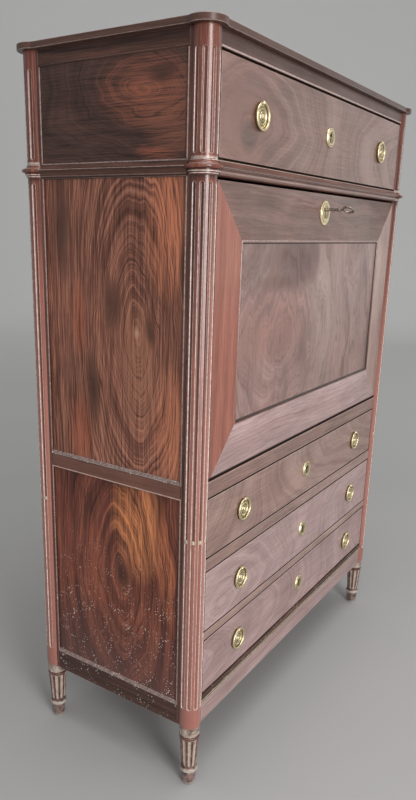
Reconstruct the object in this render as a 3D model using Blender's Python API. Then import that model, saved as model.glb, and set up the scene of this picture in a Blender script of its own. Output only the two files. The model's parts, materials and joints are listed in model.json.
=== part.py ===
"""Fall-front secretary desk with fluted corner columns, a top drawer and three long drawers.

Metres, +Z up. The front faces -Y and +X is to the right seen from the front.
The origin is on the floor, at the centre of the whole desk's outline.
Local depths (v) are measured backwards from the plane of the drawer fronts.
"""
import math

import bmesh
import bpy
from mathutils import Matrix, Vector

# ---------------------------------------------------------------- driving sizes
GAP = 0.0003                 # between pieces that touch
SIDE_X = 0.456               # outer face of the side frames
DEPTH = 0.390                # front plane to back plane
POST_IN = 0.015              # column axis behind the front plane and inside the side plane
COLUMN_R = 0.0215
WAIST_R = 0.032              # waist ring on the columns
EAR_R = 0.032                # rounded corners of the top board
POST_WIDE = 0.0315           # post block, side to side
POST_DEEP = 0.036            # post block, front to back
INNER_X = SIDE_X - POST_WIDE # inner faces of posts and side frames
KEY_REACH = 0.0650           # key bow in front of the front plane
REAR_REACH = DEPTH - POST_IN + EAR_R
FRONT_Y = -(REAR_REACH - KEY_REACH) / 2

BODY_Z = 0.138               # underside of the case, top of the feet
TOP_Z = 1.378
TOP_THICK = 0.011
FRIEZE_Z = 1.3418
TOP_OVERHANG = 0.012
BACK_OVERHANG = 0.002
FRIEZE_DEEP = 0.030
PANEL_SET_BACK = 0.004       # side panels behind the frame's outer face

FALL_Z = (0.6435, 1.1530)
FALL_THICK = 0.022
FALL_HALF = 0.4225
WINDOW_HALF = 0.3395
WINDOW_Z = (0.7333, 1.0602)
PIVOT_V = FALL_THICK / 2
PIVOT_Z = FALL_Z[0] + FALL_THICK / 2
DESK_Z = FALL_Z[0] + FALL_THICK
DESK_THICK = 0.020
FALL_CLEAR = 0.0004          # between the fall's lower edge and the rail under it
NOSE_CLEAR = 0.0005          # between the turning corner of the fall and the writing surface
PANEL_V = (0.0030, 0.0185)
LEATHER_BACK = 0.0213

WAIST_Z = (1.1575, 1.1820)
WAIST_ARRIS = 0.0105         # moulding in front of the front plane
WAIST_ARRIS_Z = 1.1718
WAIST_FILLET = 0.0045        # small step under the moulding
WAIST_FILLET_Z = (WAIST_Z[0] + 0.0022, WAIST_ARRIS_Z - 0.0065)
WAIST_SHOULDER = (0.0030, WAIST_Z[1] - 0.0020)

RAIL_DEEP = 0.045            # drawer rails, front to back
APRON_DEEP = 0.024
DUST_THICK = 0.012           # dust boards behind the rails
DUST_BACK = 0.372

# drawer name: (bottom of the front, top of the front)
DRAWERS = {
    "top": (1.1835, 1.3403),
    "upper": (0.4906, 0.6117),
    "middle": (0.3376, 0.4654),
    "lower": (0.2011, 0.3196),
}
REVEAL = 0.0007              # gap above and below a drawer front
FRONT_THICK = 0.020
FRONT_HALF = 0.4232
BOX_HALF = 0.4222
BOX_BACK = 0.360
BOX_WALL = 0.010
BOX_FLOOR = 0.007
BOX_BELOW = 0.0002           # box bottom under the lower edge of the front
BOX_UNDER = 0.014            # box rim under the upper edge of the front
HANDLE_X = 0.293

RING_R = 0.0215              # centre line of the ring pull
RING_TUBE = 0.0023
RING_GAP_ANGLE = math.radians(12)
RING_OUT = 0.0048            # centre line in front of the drawer
PLATE_R = 0.0186
KNUCKLE_HALF = 0.0034
KNUCKLE_Z = (-0.0045, 0.0030)  # from the ring's hinge
KNUCKLE_OUT = 0.0030         # in front of the ring's hinge

LOCK_Z = 1.1163              # centre of the fall's escutcheon
KEY_RISE = 0.0065            # key axis above that centre
KEY_TILT = math.radians(26)  # bow out of the horizontal at rest
KEY_R = 0.0026
KEY_TIP_V = 0.0150
COLLAR_OUT = 0.0012
COLLAR_FROM_BOW = 0.012
COLLAR_LONG = 0.005
CHAMFER = 0.001
BOW_LONG, BOW_WIDE, BOW_TUBE = 0.0112, 0.0130, 0.0019
BIT = ((0.0008, 0.0085), (0.0075, 0.0135), (-0.0011, 0.0011))
BORE_R = 0.0036
BORE_V = (-0.0055, 0.0065)
MORTISE_HALF = 0.016
MORTISE_V = (0.0050, 0.0170)
MORTISE_BELOW = 0.0120       # mortise floor under the key axis
BOLT_HALF = 0.010
BOLT_V = (0.0075, 0.0145)
BOLT_ABOVE = 0.0105          # bolt's lower edge above the key axis
BOLT_UNDER = 0.0005          # bolt's top under the fall's upper edge
STRIKE_HALF = 0.013          # slot for the bolt in the waist rail
STRIKE_V = (0.005, 0.018)
STRIKE_DEEP = 0.012

# keyhole plates: radius of the plate, then of the hole, its rise, bottom of the slot
DRAWER_ESCUTCHEON = (0.0190, 0.0030, 0.0035, -0.0075)
FALL_ESCUTCHEON = (0.0240, 0.0036, KEY_RISE, -0.0085)

STAY_R = 0.190
STAY_X = (0.4140, 0.4170)
STAY_WIDE = 0.012
STAY_SWEEP = math.radians(76)
STAY_SEAT = 0.0015           # first end of the arc behind the fall
STAY_FOOT_HALF = 0.035
STAY_FOOT_WIDE = 0.004
STAY_FOOT_THICK = 0.0030

UNIT_HALF = 0.405
UNIT_V = (0.125, 0.3735)
UNIT_Z = (DESK_Z + 0.0004, 1.150)
UNIT_WALL = 0.008
UNIT_SHELVES = (0.740, 0.945)
UNIT_DIVIDER = 0.135
UNIT_BACK = 0.006
BACK_PANEL_V = (0.375, 0.383)
TRAY_SLACK = 0.0006          # inner drawer in its bay
TRAY_SET_BACK = 0.002
TRAY_FRONT = 0.010
TRAY_WALL = 0.006
TRAY_SHORT = 0.020
PAST = 0.01                  # how far cutters reach past what they cut


# ---------------------------------------------------------------- small tools
def at(x, v, z):
    """World point from a local depth v behind the front plane."""
    return Vector((x, FRONT_Y + v, z))


def make_material(name, colour, roughness, metallic=0.0):
    material = bpy.data.materials.new(name)
    material.use_nodes = True
    shader = material.node_tree.nodes["Principled BSDF"]
    shader.inputs["Base Color"].default_value = (*colour, 1.0)
    shader.inputs["Roughness"].default_value = roughness
    shader.inputs["Metallic"].default_value = metallic
    return material


def add_object(name, mesh, material, origin=Vector((0, 0, 0)), parent=None):
    """New object whose mesh is given in world space and whose origin is at a point."""
    mesh.transform(Matrix.Translation(-origin))
    mesh.materials.clear()
    mesh.materials.append(material)
    obj = bpy.data.objects.new(name, mesh)
    bpy.context.scene.collection.objects.link(obj)
    obj.location = origin
    if parent is not None:
        obj.parent = parent
        obj.matrix_parent_inverse = Matrix.Translation(-parent.location)
    return obj


def add_empty(name, location):
    empty = bpy.data.objects.new(name, None)
    bpy.context.scene.collection.objects.link(empty)
    empty.location = location
    return empty


def mesh_from(bm, name, smooth_angle=None):
    bmesh.ops.recalc_face_normals(bm, faces=bm.faces)
    mesh = bpy.data.meshes.new(name)
    bm.to_mesh(mesh)
    bm.free()
    if smooth_angle is not None:
        mesh.shade_smooth()
        mesh.set_sharp_from_angle(angle=math.radians(smooth_angle))
    return mesh


def box_mesh(x, v, z):
    """Box from (low, high) pairs."""
    size = Vector((x[1] - x[0], v[1] - v[0], z[1] - z[0]))
    centre = at((x[0] + x[1]) / 2, (v[0] + v[1]) / 2, (z[0] + z[1]) / 2)
    bm = bmesh.new()
    place = Matrix.Translation(centre) @ Matrix.Diagonal((*size, 1))
    bmesh.ops.create_cube(bm, size=1.0, matrix=place)
    return mesh_from(bm, "box")


def extruded_mesh(corners, path):
    """Flat outline of 3-D corners, extruded along a vector."""
    bm = bmesh.new()
    face = bm.faces.new([bm.verts.new(corner) for corner in corners])
    grown = bmesh.ops.extrude_face_region(bm, geom=[face])
    moved = [item for item in grown["geom"] if isinstance(item, bmesh.types.BMVert)]
    bmesh.ops.translate(bm, verts=moved, vec=path)
    return mesh_from(bm, "extrusion")


def rail_mesh(profile, half):
    """(v, z) profile run from side to side."""
    corners = [at(-half, v, z) for v, z in profile]
    return extruded_mesh(corners, Vector((2 * half, 0, 0)))


def turned_mesh(profile, centre, axis, segments, smooth_angle=35):
    """(radius, height) profile spun round an axis; heights run along the axis from the centre."""
    turn = Vector((0, 0, 1)).rotation_difference(axis).to_matrix().to_4x4()
    bm = bmesh.new()
    verts = [bm.verts.new((radius, 0, height)) for radius, height in profile]
    edges = [bm.edges.new(pair) for pair in zip(verts, verts[1:])]
    bmesh.ops.spin(
        bm, geom=verts + edges, cent=(0, 0, 0), axis=(0, 0, 1),
        angle=2 * math.pi, steps=segments, use_merge=True,
    )
    bmesh.ops.remove_doubles(bm, verts=bm.verts, dist=0.00002)
    bm.transform(Matrix.Translation(centre) @ turn)
    return mesh_from(bm, "turning", smooth_angle)


def tube_mesh(points, radius, sides, closed=False):
    """Round bar along a list of points, with flat ends unless it is closed."""
    curve = bpy.data.curves.new("bar", "CURVE")
    curve.dimensions = "3D"
    curve.bevel_depth = radius
    curve.bevel_resolution = (sides - 4) // 2
    curve.use_fill_caps = not closed
    spline = curve.splines.new("POLY")
    spline.points.add(len(points) - 1)
    for place, point in zip(spline.points, points):
        place.co = (*point, 1.0)
    spline.use_cyclic_u = closed
    holder = bpy.data.objects.new("bar", curve)
    bpy.context.scene.collection.objects.link(holder)
    bpy.context.view_layer.update()
    mesh = bpy.data.meshes.new_from_object(holder.evaluated_get(bpy.context.evaluated_depsgraph_get()))
    bpy.data.objects.remove(holder)
    bpy.data.curves.remove(curve)
    bm = bmesh.new()
    bm.from_mesh(mesh)
    bmesh.ops.remove_doubles(bm, verts=bm.verts, dist=0.00001)
    return mesh_from(bm, "bar", 40)


def combined(base, other, operation):
    """Boolean of two meshes, as a new mesh."""
    first = bpy.data.objects.new("base", base)
    second = bpy.data.objects.new("other", other)
    for obj in (first, second):
        bpy.context.scene.collection.objects.link(obj)
    modifier = first.modifiers.new("combine", "BOOLEAN")
    modifier.operation = operation
    modifier.solver = "EXACT"
    modifier.object = second
    bpy.context.view_layer.update()
    mesh = bpy.data.meshes.new_from_object(first.evaluated_get(bpy.context.evaluated_depsgraph_get()))
    bpy.data.objects.remove(first)
    bpy.data.objects.remove(second)
    return mesh


def union(base, other):
    return combined(base, other, "UNION")


def cut(base, other):
    return combined(base, other, "DIFFERENCE")


def arc(centre, radius, start, end, steps):
    """Points of a flat arc, ends included."""
    for index in range(steps + 1):
        angle = start + (end - start) * index / steps
        yield centre[0] + radius * math.cos(angle), centre[1] + radius * math.sin(angle)


# ---------------------------------------------------------------- the case
def top_board(material):
    """Thin board whose corners swell into round ears over the columns."""
    half = SIDE_X + TOP_OVERHANG
    post_x = SIDE_X - POST_IN
    reach = half - post_x
    back_reach = POST_IN + BACK_OVERHANG
    side_angle = math.acos(reach / EAR_R)
    back_angle = math.acos(back_reach / EAR_R)
    front = list(arc((post_x, POST_IN), EAR_R, -math.pi / 2 - side_angle, side_angle, 10))
    rear = list(arc((post_x, DEPTH - POST_IN), EAR_R, -side_angle, math.pi / 2 + back_angle, 9))
    outline = front + rear
    outline += [(-x, v) for x, v in reversed(outline)]
    corners = [at(x, v, TOP_Z - TOP_THICK) for x, v in outline]
    mesh = extruded_mesh(corners, Vector((0, 0, TOP_THICK)))
    return add_object("top_board", mesh, material)


def post_profile():
    """Column with the waist ring turned on it and a rounded lower end."""
    ring_low, ring_top = WAIST_Z
    top = TOP_Z - TOP_THICK - GAP
    return [
        (0.0, BODY_Z), (COLUMN_R - 0.004, BODY_Z),
        (COLUMN_R - 0.001, BODY_Z + 0.0015), (COLUMN_R, BODY_Z + 0.005),
        (COLUMN_R, ring_low + 0.0015), (COLUMN_R + 0.0035, ring_low + 0.0035),
        (COLUMN_R + 0.0050, WAIST_ARRIS_Z - 0.0055),
        (WAIST_R, WAIST_ARRIS_Z - 0.0040), (WAIST_R, WAIST_ARRIS_Z + 0.0010),
        (COLUMN_R + 0.0045, ring_top - 0.0045), (COLUMN_R, ring_top),
        (COLUMN_R, top), (0.0, top),
    ]


def post_mesh(side, rear):
    """Round column engaged in a square post block."""
    axis_v = DEPTH - POST_IN if rear else POST_IN
    top = TOP_Z - TOP_THICK - GAP
    block_v = (DEPTH - POST_DEEP, DEPTH) if rear else (0.0, POST_DEEP)
    block_x = sorted((side * SIDE_X, side * INNER_X))
    column = turned_mesh(post_profile(), at(side * (SIDE_X - POST_IN), axis_v, 0), Vector((0, 0, 1)), 18)
    far = 0.1
    keep_x = (-far - SIDE_X, -INNER_X) if side < 0 else (INNER_X, SIDE_X + far)
    keep_v = (DEPTH - POST_DEEP, DEPTH + far) if rear else (-far, POST_DEEP)
    room = box_mesh(keep_x, keep_v, (-far, TOP_Z + far))
    clipped = combined(column, room, "INTERSECT")
    inset = 0.0004
    block = box_mesh(block_x, block_v, (BODY_Z + inset, top - inset))
    return union(clipped, block)


FOOT_PROFILE = [
    (0.0, 0.0), (0.0100, 0.0), (0.0142, 0.012), (0.0146, 0.028), (0.0186, 0.0330),
    (0.0186, 0.0420), (0.0148, 0.0480), (0.0196, 0.1080), (0.0208, 0.1150), (0.0215, 0.1210),
    (0.0215, BODY_Z - GAP), (0.0, BODY_Z - GAP),
]


def waist_profile():
    """(out, z) points of the waist moulding's face, downwards."""
    return [
        WAIST_SHOULDER, (WAIST_ARRIS, WAIST_ARRIS_Z + 0.0008), (WAIST_ARRIS, WAIST_ARRIS_Z - 0.0010),
        (WAIST_FILLET, WAIST_FILLET_Z[1]), (WAIST_FILLET, WAIST_FILLET_Z[0]),
    ]


def side_moulding_mesh(side):
    """Waist moulding across a side frame, between the posts."""
    lap = 0.002
    fillet_low = WAIST_FILLET_Z[0]
    profile = [(-lap, WAIST_Z[1]), (0.0, WAIST_Z[1])] + waist_profile() + [(-lap, fillet_low)]
    start = POST_DEEP + GAP
    run = DEPTH - 2 * start
    corners = [at(side * (SIDE_X + out), start, z) for out, z in profile]
    return extruded_mesh(corners, Vector((0, run, 0)))


SIDE_WINDOWS = {"lower": (0.1800, 0.6106), "main": (0.6365, 1.1567)}
SIDE_STILE = 0.0020          # side frame's stile between post and panel


def side_frame(side, name, material):
    """Rails and stiles between the posts, with two windows and the waist moulding."""
    x = sorted((side * SIDE_X, side * INNER_X))
    start = POST_DEEP + GAP
    z = (BODY_Z, TOP_Z - TOP_THICK - GAP)
    mesh = box_mesh(x, (start, DEPTH - start), z)
    through = (x[0] - PAST, x[1] + PAST)
    for low, high in SIDE_WINDOWS.values():
        window = box_mesh(through, (start + SIDE_STILE, DEPTH - start - SIDE_STILE), (low, high))
        mesh = cut(mesh, window)
    return add_object(name, union(mesh, side_moulding_mesh(side)), material)


def side_panel(side, window, name, material):
    """Panel that fills one window, set back from the frame's outer face."""
    low, high = SIDE_WINDOWS[window]
    start = POST_DEEP + 2 * GAP + SIDE_STILE
    x = sorted((side * (SIDE_X - PANEL_SET_BACK), side * INNER_X))
    mesh = box_mesh(x, (start, DEPTH - start), (low + GAP, high - GAP))
    return add_object(name, mesh, material)


def shelf_profile(front_low, top, rail_deep=RAIL_DEEP):
    """Front rail with a thinner dust board behind it, level on top."""
    return [
        (0.0, front_low), (rail_deep, front_low), (rail_deep, top - DUST_THICK),
        (DUST_BACK, top - DUST_THICK), (DUST_BACK, top), (0.0, top),
    ]


def waist_rail(material):
    """Moulded rail above the fall, with the board that the top drawer runs on."""
    low, top = WAIST_Z
    face = [(-out, z) for out, z in waist_profile()]
    profile = [(0.0, top)] + face + [
        (0.0, low), (RAIL_DEEP, low), (RAIL_DEEP, top - DUST_THICK),
        (DUST_BACK, top - DUST_THICK), (DUST_BACK, top),
    ]
    strike = box_mesh((-STRIKE_HALF, STRIKE_HALF), STRIKE_V, (low - PAST, low + STRIKE_DEEP))
    return add_object("waist_rail", cut(rail_mesh(profile, INNER_X - GAP), strike), material)


def desk_board(material):
    """Rail under the fall and the fixed part of the writing surface behind it."""
    nose = PIVOT_V + PIVOT_V * math.sqrt(2) + NOSE_CLEAR
    rail_top = FALL_Z[0] - FALL_CLEAR
    low = DRAWERS["upper"][1] + REVEAL
    under = DESK_Z - DESK_THICK
    profile = [
        (0.0, low), (RAIL_DEEP, low), (RAIL_DEEP, under), (DUST_BACK, under),
        (DUST_BACK, DESK_Z), (nose, DESK_Z), (nose, rail_top), (0.0, rail_top),
    ]
    return add_object("desk_board", rail_mesh(profile, INNER_X - GAP), material)


def build_case(wood, panel_wood):
    top_board(wood)
    for side, side_name in ((-1, "left"), (1, "right")):
        for rear, end_name in ((False, "front"), (True, "rear")):
            where = f"{end_name}_{side_name}"
            axis_v = DEPTH - POST_IN if rear else POST_IN
            add_object(f"post_{where}", post_mesh(side, rear), wood)
            base = at(side * (SIDE_X - POST_IN), axis_v, 0)
            foot = turned_mesh(FOOT_PROFILE, base, Vector((0, 0, 1)), 14)
            add_object(f"foot_{where}", foot, wood)
        side_frame(side, f"side_frame_{side_name}", wood)
        for window in SIDE_WINDOWS:
            side_panel(side, window, f"side_panel_{window}_{side_name}", panel_wood)
    half = INNER_X - GAP
    back_z = (BODY_Z, TOP_Z - TOP_THICK - GAP)
    add_object("back_panel", box_mesh((-half, half), BACK_PANEL_V, back_z), panel_wood)
    frieze = box_mesh((-half, half), (0.0, FRIEZE_DEEP), (FRIEZE_Z, TOP_Z - TOP_THICK - GAP))
    add_object("frieze_rail", frieze, wood)
    waist_rail(wood)
    desk_board(wood)
    for name, above, below in (
        ("drawer_rail_upper", "upper", "middle"), ("drawer_rail_lower", "middle", "lower"),
    ):
        profile = shelf_profile(DRAWERS[below][1] + REVEAL, DRAWERS[above][0] - REVEAL)
        add_object(name, rail_mesh(profile, half), wood)
    profile = shelf_profile(BODY_Z, DRAWERS["lower"][0] - REVEAL, rail_deep=APRON_DEEP)
    add_object("apron_board", rail_mesh(profile, half), wood)


# ---------------------------------------------------------------- brass
def plate_mesh(centre):
    """Stepped round backplate with a boss, and a knuckle that carries the ring."""
    profile = [
        (0.0, 0.0074), (0.0040, 0.0066), (0.0056, 0.0038), (0.0104, 0.0038),
        (0.0120, 0.0048), (0.0140, 0.0028), (PLATE_R, 0.0018), (PLATE_R, GAP), (0.0, GAP),
    ]
    disc = turned_mesh(profile, centre, Vector((0, -1, 0)), 16)
    hinge_z = ring_hinge(centre).z
    knuckle_x = (centre.x - KNUCKLE_HALF, centre.x + KNUCKLE_HALF)
    v = centre.y - FRONT_Y
    knuckle_z = (hinge_z + KNUCKLE_Z[0], hinge_z + KNUCKLE_Z[1])
    knuckle = box_mesh(knuckle_x, (v - RING_OUT - KNUCKLE_OUT, v - GAP * 1.5), knuckle_z)
    return union(disc, knuckle)


def ring_mesh(centre):
    """Open ring whose two ends meet the sides of the knuckle."""
    steps = 16
    start = math.pi / 2 + RING_GAP_ANGLE
    end = math.pi / 2 + 2 * math.pi - RING_GAP_ANGLE
    points = [
        (centre.x + across, centre.y - RING_OUT, centre.z + up)
        for across, up in arc((0, 0), RING_R, start, end, steps)
    ]
    return tube_mesh(points, RING_TUBE, 6)


def ring_hinge(centre):
    return centre + Vector((0, -RING_OUT, RING_R * math.cos(RING_GAP_ANGLE)))


def keyhole_mesh(centre, hole_r, rise, slot_low, slot_wide, deep):
    """Round hole with a slot below it, as a cutter."""
    start = centre + Vector((0, deep / 2, rise))
    outline = [(0, 0), (hole_r, 0), (hole_r, deep), (0, deep)]
    round_hole = turned_mesh(outline, start, Vector((0, -1, 0)), 12, None)
    v = centre.y - FRONT_Y
    slot = box_mesh(
        (centre.x - slot_wide / 2, centre.x + slot_wide / 2), (v - deep * 0.45, v + deep * 0.45),
        (centre.z + slot_low, centre.z + rise),
    )
    return union(round_hole, slot)


def escutcheon_mesh(centre, radius, hole_r, rise, slot_low):
    """Round keyhole plate with a raised rim."""
    profile = [
        (0.0, 0.0022), (radius * 0.55, 0.0024), (radius * 0.70, 0.0036), (radius * 0.90, 0.0036),
        (radius, 0.0016), (radius, GAP), (0.0, GAP),
    ]
    disc = turned_mesh(profile, centre, Vector((0, -1, 0)), 16)
    slot_wide = hole_r * 0.9
    return cut(disc, keyhole_mesh(centre, hole_r, rise, slot_low, slot_wide, 3 * PAST))


# ---------------------------------------------------------------- drawers
def drawer_box_mesh(low, high):
    """Sides, back and bottom; the drawer front closes it."""
    start = FRONT_THICK + GAP
    outer = box_mesh((-BOX_HALF, BOX_HALF), (start, BOX_BACK), (low, high))
    inner_half = BOX_HALF - BOX_WALL
    hollow = box_mesh(
        (-inner_half, inner_half), (start - PAST, BOX_BACK - BOX_WALL), (low + BOX_FLOOR, high + PAST)
    )
    return cut(outer, hollow)


def build_drawer(name, wood, inner_wood, brass):
    low, high = DRAWERS[name]
    middle = (low + high) / 2
    root = add_empty(f"{name}_drawer_body", at(0, 0, middle))
    front = box_mesh((-FRONT_HALF, FRONT_HALF), (0.0, FRONT_THICK), (low, high))
    add_object(f"{name}_drawer_front", front, wood, root.location, root)
    box = drawer_box_mesh(low - BOX_BELOW, high - BOX_UNDER)
    add_object(f"{name}_drawer_box", box, inner_wood, root.location, root)
    plate = escutcheon_mesh(at(0, 0, middle), *DRAWER_ESCUTCHEON)
    add_object(f"{name}_drawer_escutcheon", plate, brass, root.location, root)
    for side, side_name in ((-1, "left"), (1, "right")):
        centre = at(side * HANDLE_X, 0, middle)
        add_object(f"{name}_handle_plate_{side_name}", plate_mesh(centre), brass, centre, root)
        add_object(f"{name}_handle_ring_{side_name}", ring_mesh(centre), brass, ring_hinge(centre), root)


# ---------------------------------------------------------------- the fall
def fall_frame_mesh():
    """Mitred frame with a rounded lower outer edge, a lock mortise and a key bore."""
    low, high = FALL_Z
    lower_edge = list(arc((PIVOT_V, PIVOT_Z), PIVOT_V, math.pi, 1.5 * math.pi, 6))
    profile = [(0.0, high)] + lower_edge + [(FALL_THICK, low), (FALL_THICK, high)]
    mesh = rail_mesh(profile, FALL_HALF)
    window = box_mesh((-WINDOW_HALF, WINDOW_HALF), (-PAST, FALL_THICK + PAST), WINDOW_Z)
    mesh = cut(mesh, window)
    key_z = LOCK_Z + KEY_RISE
    mortise = box_mesh((-MORTISE_HALF, MORTISE_HALF), MORTISE_V, (key_z - MORTISE_BELOW, high + PAST))
    mesh = cut(mesh, mortise)
    deep = BORE_V[1] - BORE_V[0]
    outline = [(0, 0), (BORE_R, 0), (BORE_R, deep), (0, deep)]
    return cut(mesh, turned_mesh(outline, at(0, BORE_V[1], key_z), Vector((0, -1, 0)), 12, None))


def stay_mesh(side):
    """Quadrant iron: an arc round the fall's pivots on a plate screwed to the fall."""
    x = sorted((side * STAY_X[0], side * STAY_X[1]))
    start = math.asin((FALL_THICK - PIVOT_V + STAY_SEAT) / STAY_R)
    first = math.pi / 2 - start
    last = first - STAY_SWEEP
    steps = 14
    outer = list(arc((PIVOT_V, PIVOT_Z), STAY_R + STAY_WIDE / 2, first, last, steps))
    inner = list(arc((PIVOT_V, PIVOT_Z), STAY_R - STAY_WIDE / 2, last, first, steps))
    corners = [at(x[0], v, z) for v, z in outer + inner]
    blade = extruded_mesh(corners, Vector((x[1] - x[0], 0, 0)))
    inward, outward = side * (STAY_X[0] - STAY_FOOT_WIDE), side * (STAY_X[1] + 0.0001)
    foot_v = (FALL_THICK + GAP, FALL_THICK + STAY_FOOT_THICK)
    foot_z = (PIVOT_Z + STAY_R - STAY_FOOT_HALF, PIVOT_Z + STAY_R + STAY_FOOT_HALF)
    return union(blade, box_mesh(sorted((inward, outward)), foot_v, foot_z))


def key_mesh(axis_point):
    """Round shank with a collar, a flat bit and an oval bow."""
    bow_v = -KEY_REACH + BOW_LONG + BOW_TUBE
    length = KEY_TIP_V - bow_v - BOW_LONG
    collar_r = KEY_R + COLLAR_OUT
    collar_from = length - COLLAR_FROM_BOW
    collar_to = collar_from + COLLAR_LONG
    profile = [
        (0.0, 0.0), (KEY_R, 0.0), (KEY_R, collar_from), (collar_r, collar_from + CHAMFER),
        (collar_r, collar_to - CHAMFER), (KEY_R, collar_to), (KEY_R, length), (0.0, length),
    ]
    shank = turned_mesh(profile, axis_point + Vector((0, KEY_TIP_V, 0)), Vector((0, -1, 0)), 10)
    steps = 20
    tilt = Matrix.Rotation(KEY_TILT, 4, "Y")
    loop = []
    for index in range(steps):
        angle = 2 * math.pi * index / steps
        offset = tilt @ Vector((BOW_WIDE * math.sin(angle), BOW_LONG * math.cos(angle), 0))
        loop.append(axis_point + Vector((0, bow_v, 0)) + offset)
    bow = tube_mesh(loop, BOW_TUBE, 6, closed=True)
    key = union(shank, bow)
    bit = box_mesh(*BIT)
    bit.transform(Matrix.Translation(axis_point) @ tilt @ Matrix.Translation(-at(0, 0, 0)))
    return union(key, bit)


def build_fall(wood, panel_wood, leather, brass, steel):
    pivot = at(0, PIVOT_V, PIVOT_Z)
    root = add_empty("fall_body", pivot)
    add_object("fall_frame", fall_frame_mesh(), wood, pivot, root)
    half = WINDOW_HALF - GAP
    window_z = (WINDOW_Z[0] + GAP, WINDOW_Z[1] - GAP)
    panel = box_mesh((-half, half), PANEL_V, window_z)
    add_object("fall_panel", panel, panel_wood, pivot, root)
    inset = box_mesh((-half, half), (PANEL_V[1] + GAP, LEATHER_BACK), window_z)
    add_object("fall_leather", inset, leather, pivot, root)
    escutcheon = escutcheon_mesh(at(0, 0, LOCK_Z), *FALL_ESCUTCHEON)
    add_object("fall_escutcheon", escutcheon, brass, pivot, root)
    for side, side_name in ((-1, "left"), (1, "right")):
        add_object(f"fall_stay_{side_name}", stay_mesh(side), brass, pivot, root)
    key_z = LOCK_Z + KEY_RISE
    axis_point = at(0, 0, key_z)
    add_object("fall_key", key_mesh(axis_point), steel, axis_point, root)
    bolt_z = (key_z + BOLT_ABOVE, FALL_Z[1] - BOLT_UNDER)
    bolt = box_mesh((-BOLT_HALF, BOLT_HALF), BOLT_V, bolt_z)
    add_object("fall_lock_bolt", bolt, brass, at(0, sum(BOLT_V) / 2, bolt_z[0]), root)


# ---------------------------------------------------------------- the inside
def unit_bays():
    """(x range, z range) of each opening of the pigeonhole unit, row by row."""
    columns = (
        (-UNIT_HALF + UNIT_WALL, -UNIT_DIVIDER - UNIT_WALL / 2),
        (-UNIT_DIVIDER + UNIT_WALL / 2, UNIT_DIVIDER - UNIT_WALL / 2),
        (UNIT_DIVIDER + UNIT_WALL / 2, UNIT_HALF - UNIT_WALL),
    )
    levels = (UNIT_Z[0] + UNIT_WALL / 2, *UNIT_SHELVES, UNIT_Z[1] - UNIT_WALL / 2)
    for low, high in zip(levels, levels[1:]):
        for column in columns:
            yield column, (low + UNIT_WALL / 2, high - UNIT_WALL / 2)


KNOB_PROFILE = [
    (0.0, 0.0), (0.0040, 0.0), (0.0030, 0.006), (0.0062, 0.010), (0.0062, 0.013), (0.0035, 0.016),
    (0.0, 0.0165),
]


def build_inside(wood):
    unit = box_mesh((-UNIT_HALF, UNIT_HALF), UNIT_V, UNIT_Z)
    bays = list(unit_bays())
    for x, z in bays:
        unit = cut(unit, box_mesh(x, (UNIT_V[0] - PAST, UNIT_V[1] - UNIT_BACK), z))
    add_object("pigeonhole_unit", unit, wood)
    x, z = bays[1]
    x = (x[0] + TRAY_SLACK, x[1] - TRAY_SLACK)
    z = (z[0] + TRAY_SLACK / 2, z[1] - TRAY_SLACK)
    start = UNIT_V[0] + TRAY_SET_BACK
    end = UNIT_V[1] - TRAY_SHORT
    hollow_x = (x[0] + TRAY_WALL, x[1] - TRAY_WALL)
    hollow_v = (start + TRAY_FRONT, end - TRAY_WALL)
    hollow = box_mesh(hollow_x, hollow_v, (z[0] + TRAY_WALL, z[1] + PAST))
    tray = cut(box_mesh(x, (start, end), z), hollow)
    lap = 0.002
    middle = at(0, start + lap, (z[0] + z[1]) / 2)
    knob = turned_mesh(KNOB_PROFILE, middle, Vector((0, -1, 0)), 12)
    add_object("inner_drawer", union(tray, knob), wood, middle)


# ---------------------------------------------------------------- everything
def build():
    for obj in list(bpy.data.objects):
        bpy.data.objects.remove(obj)
    mahogany = make_material("mahogany", (0.16, 0.055, 0.040), 0.28)
    figured = make_material("figured_mahogany", (0.20, 0.075, 0.045), 0.30)
    drawer_wood = make_material("oak_lining", (0.34, 0.22, 0.13), 0.60)
    brass = make_material("brass", (0.69, 0.62, 0.33), 0.30, 1.0)
    steel = make_material("dark_steel", (0.22, 0.18, 0.16), 0.35, 1.0)
    leather = make_material("green_leather", (0.07, 0.11, 0.06), 0.55)
    build_case(mahogany, figured)
    for name in DRAWERS:
        build_drawer(name, mahogany, drawer_wood, brass)
    build_fall(mahogany, figured, leather, brass, steel)
    build_inside(drawer_wood)


build()
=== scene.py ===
"""Looks of the fall-front secretary desk: veneers, mouldings, flutes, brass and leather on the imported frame.

Metres, +Z up. The front faces -Y and +X is to the right seen from the front. Places come from the
frame's nodes, mounts and joints. A depth is measured backwards from the plane of the drawer fronts.
"""

import json
import math
import random

import bmesh
import bpy
from mathutils import Matrix, Vector


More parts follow.
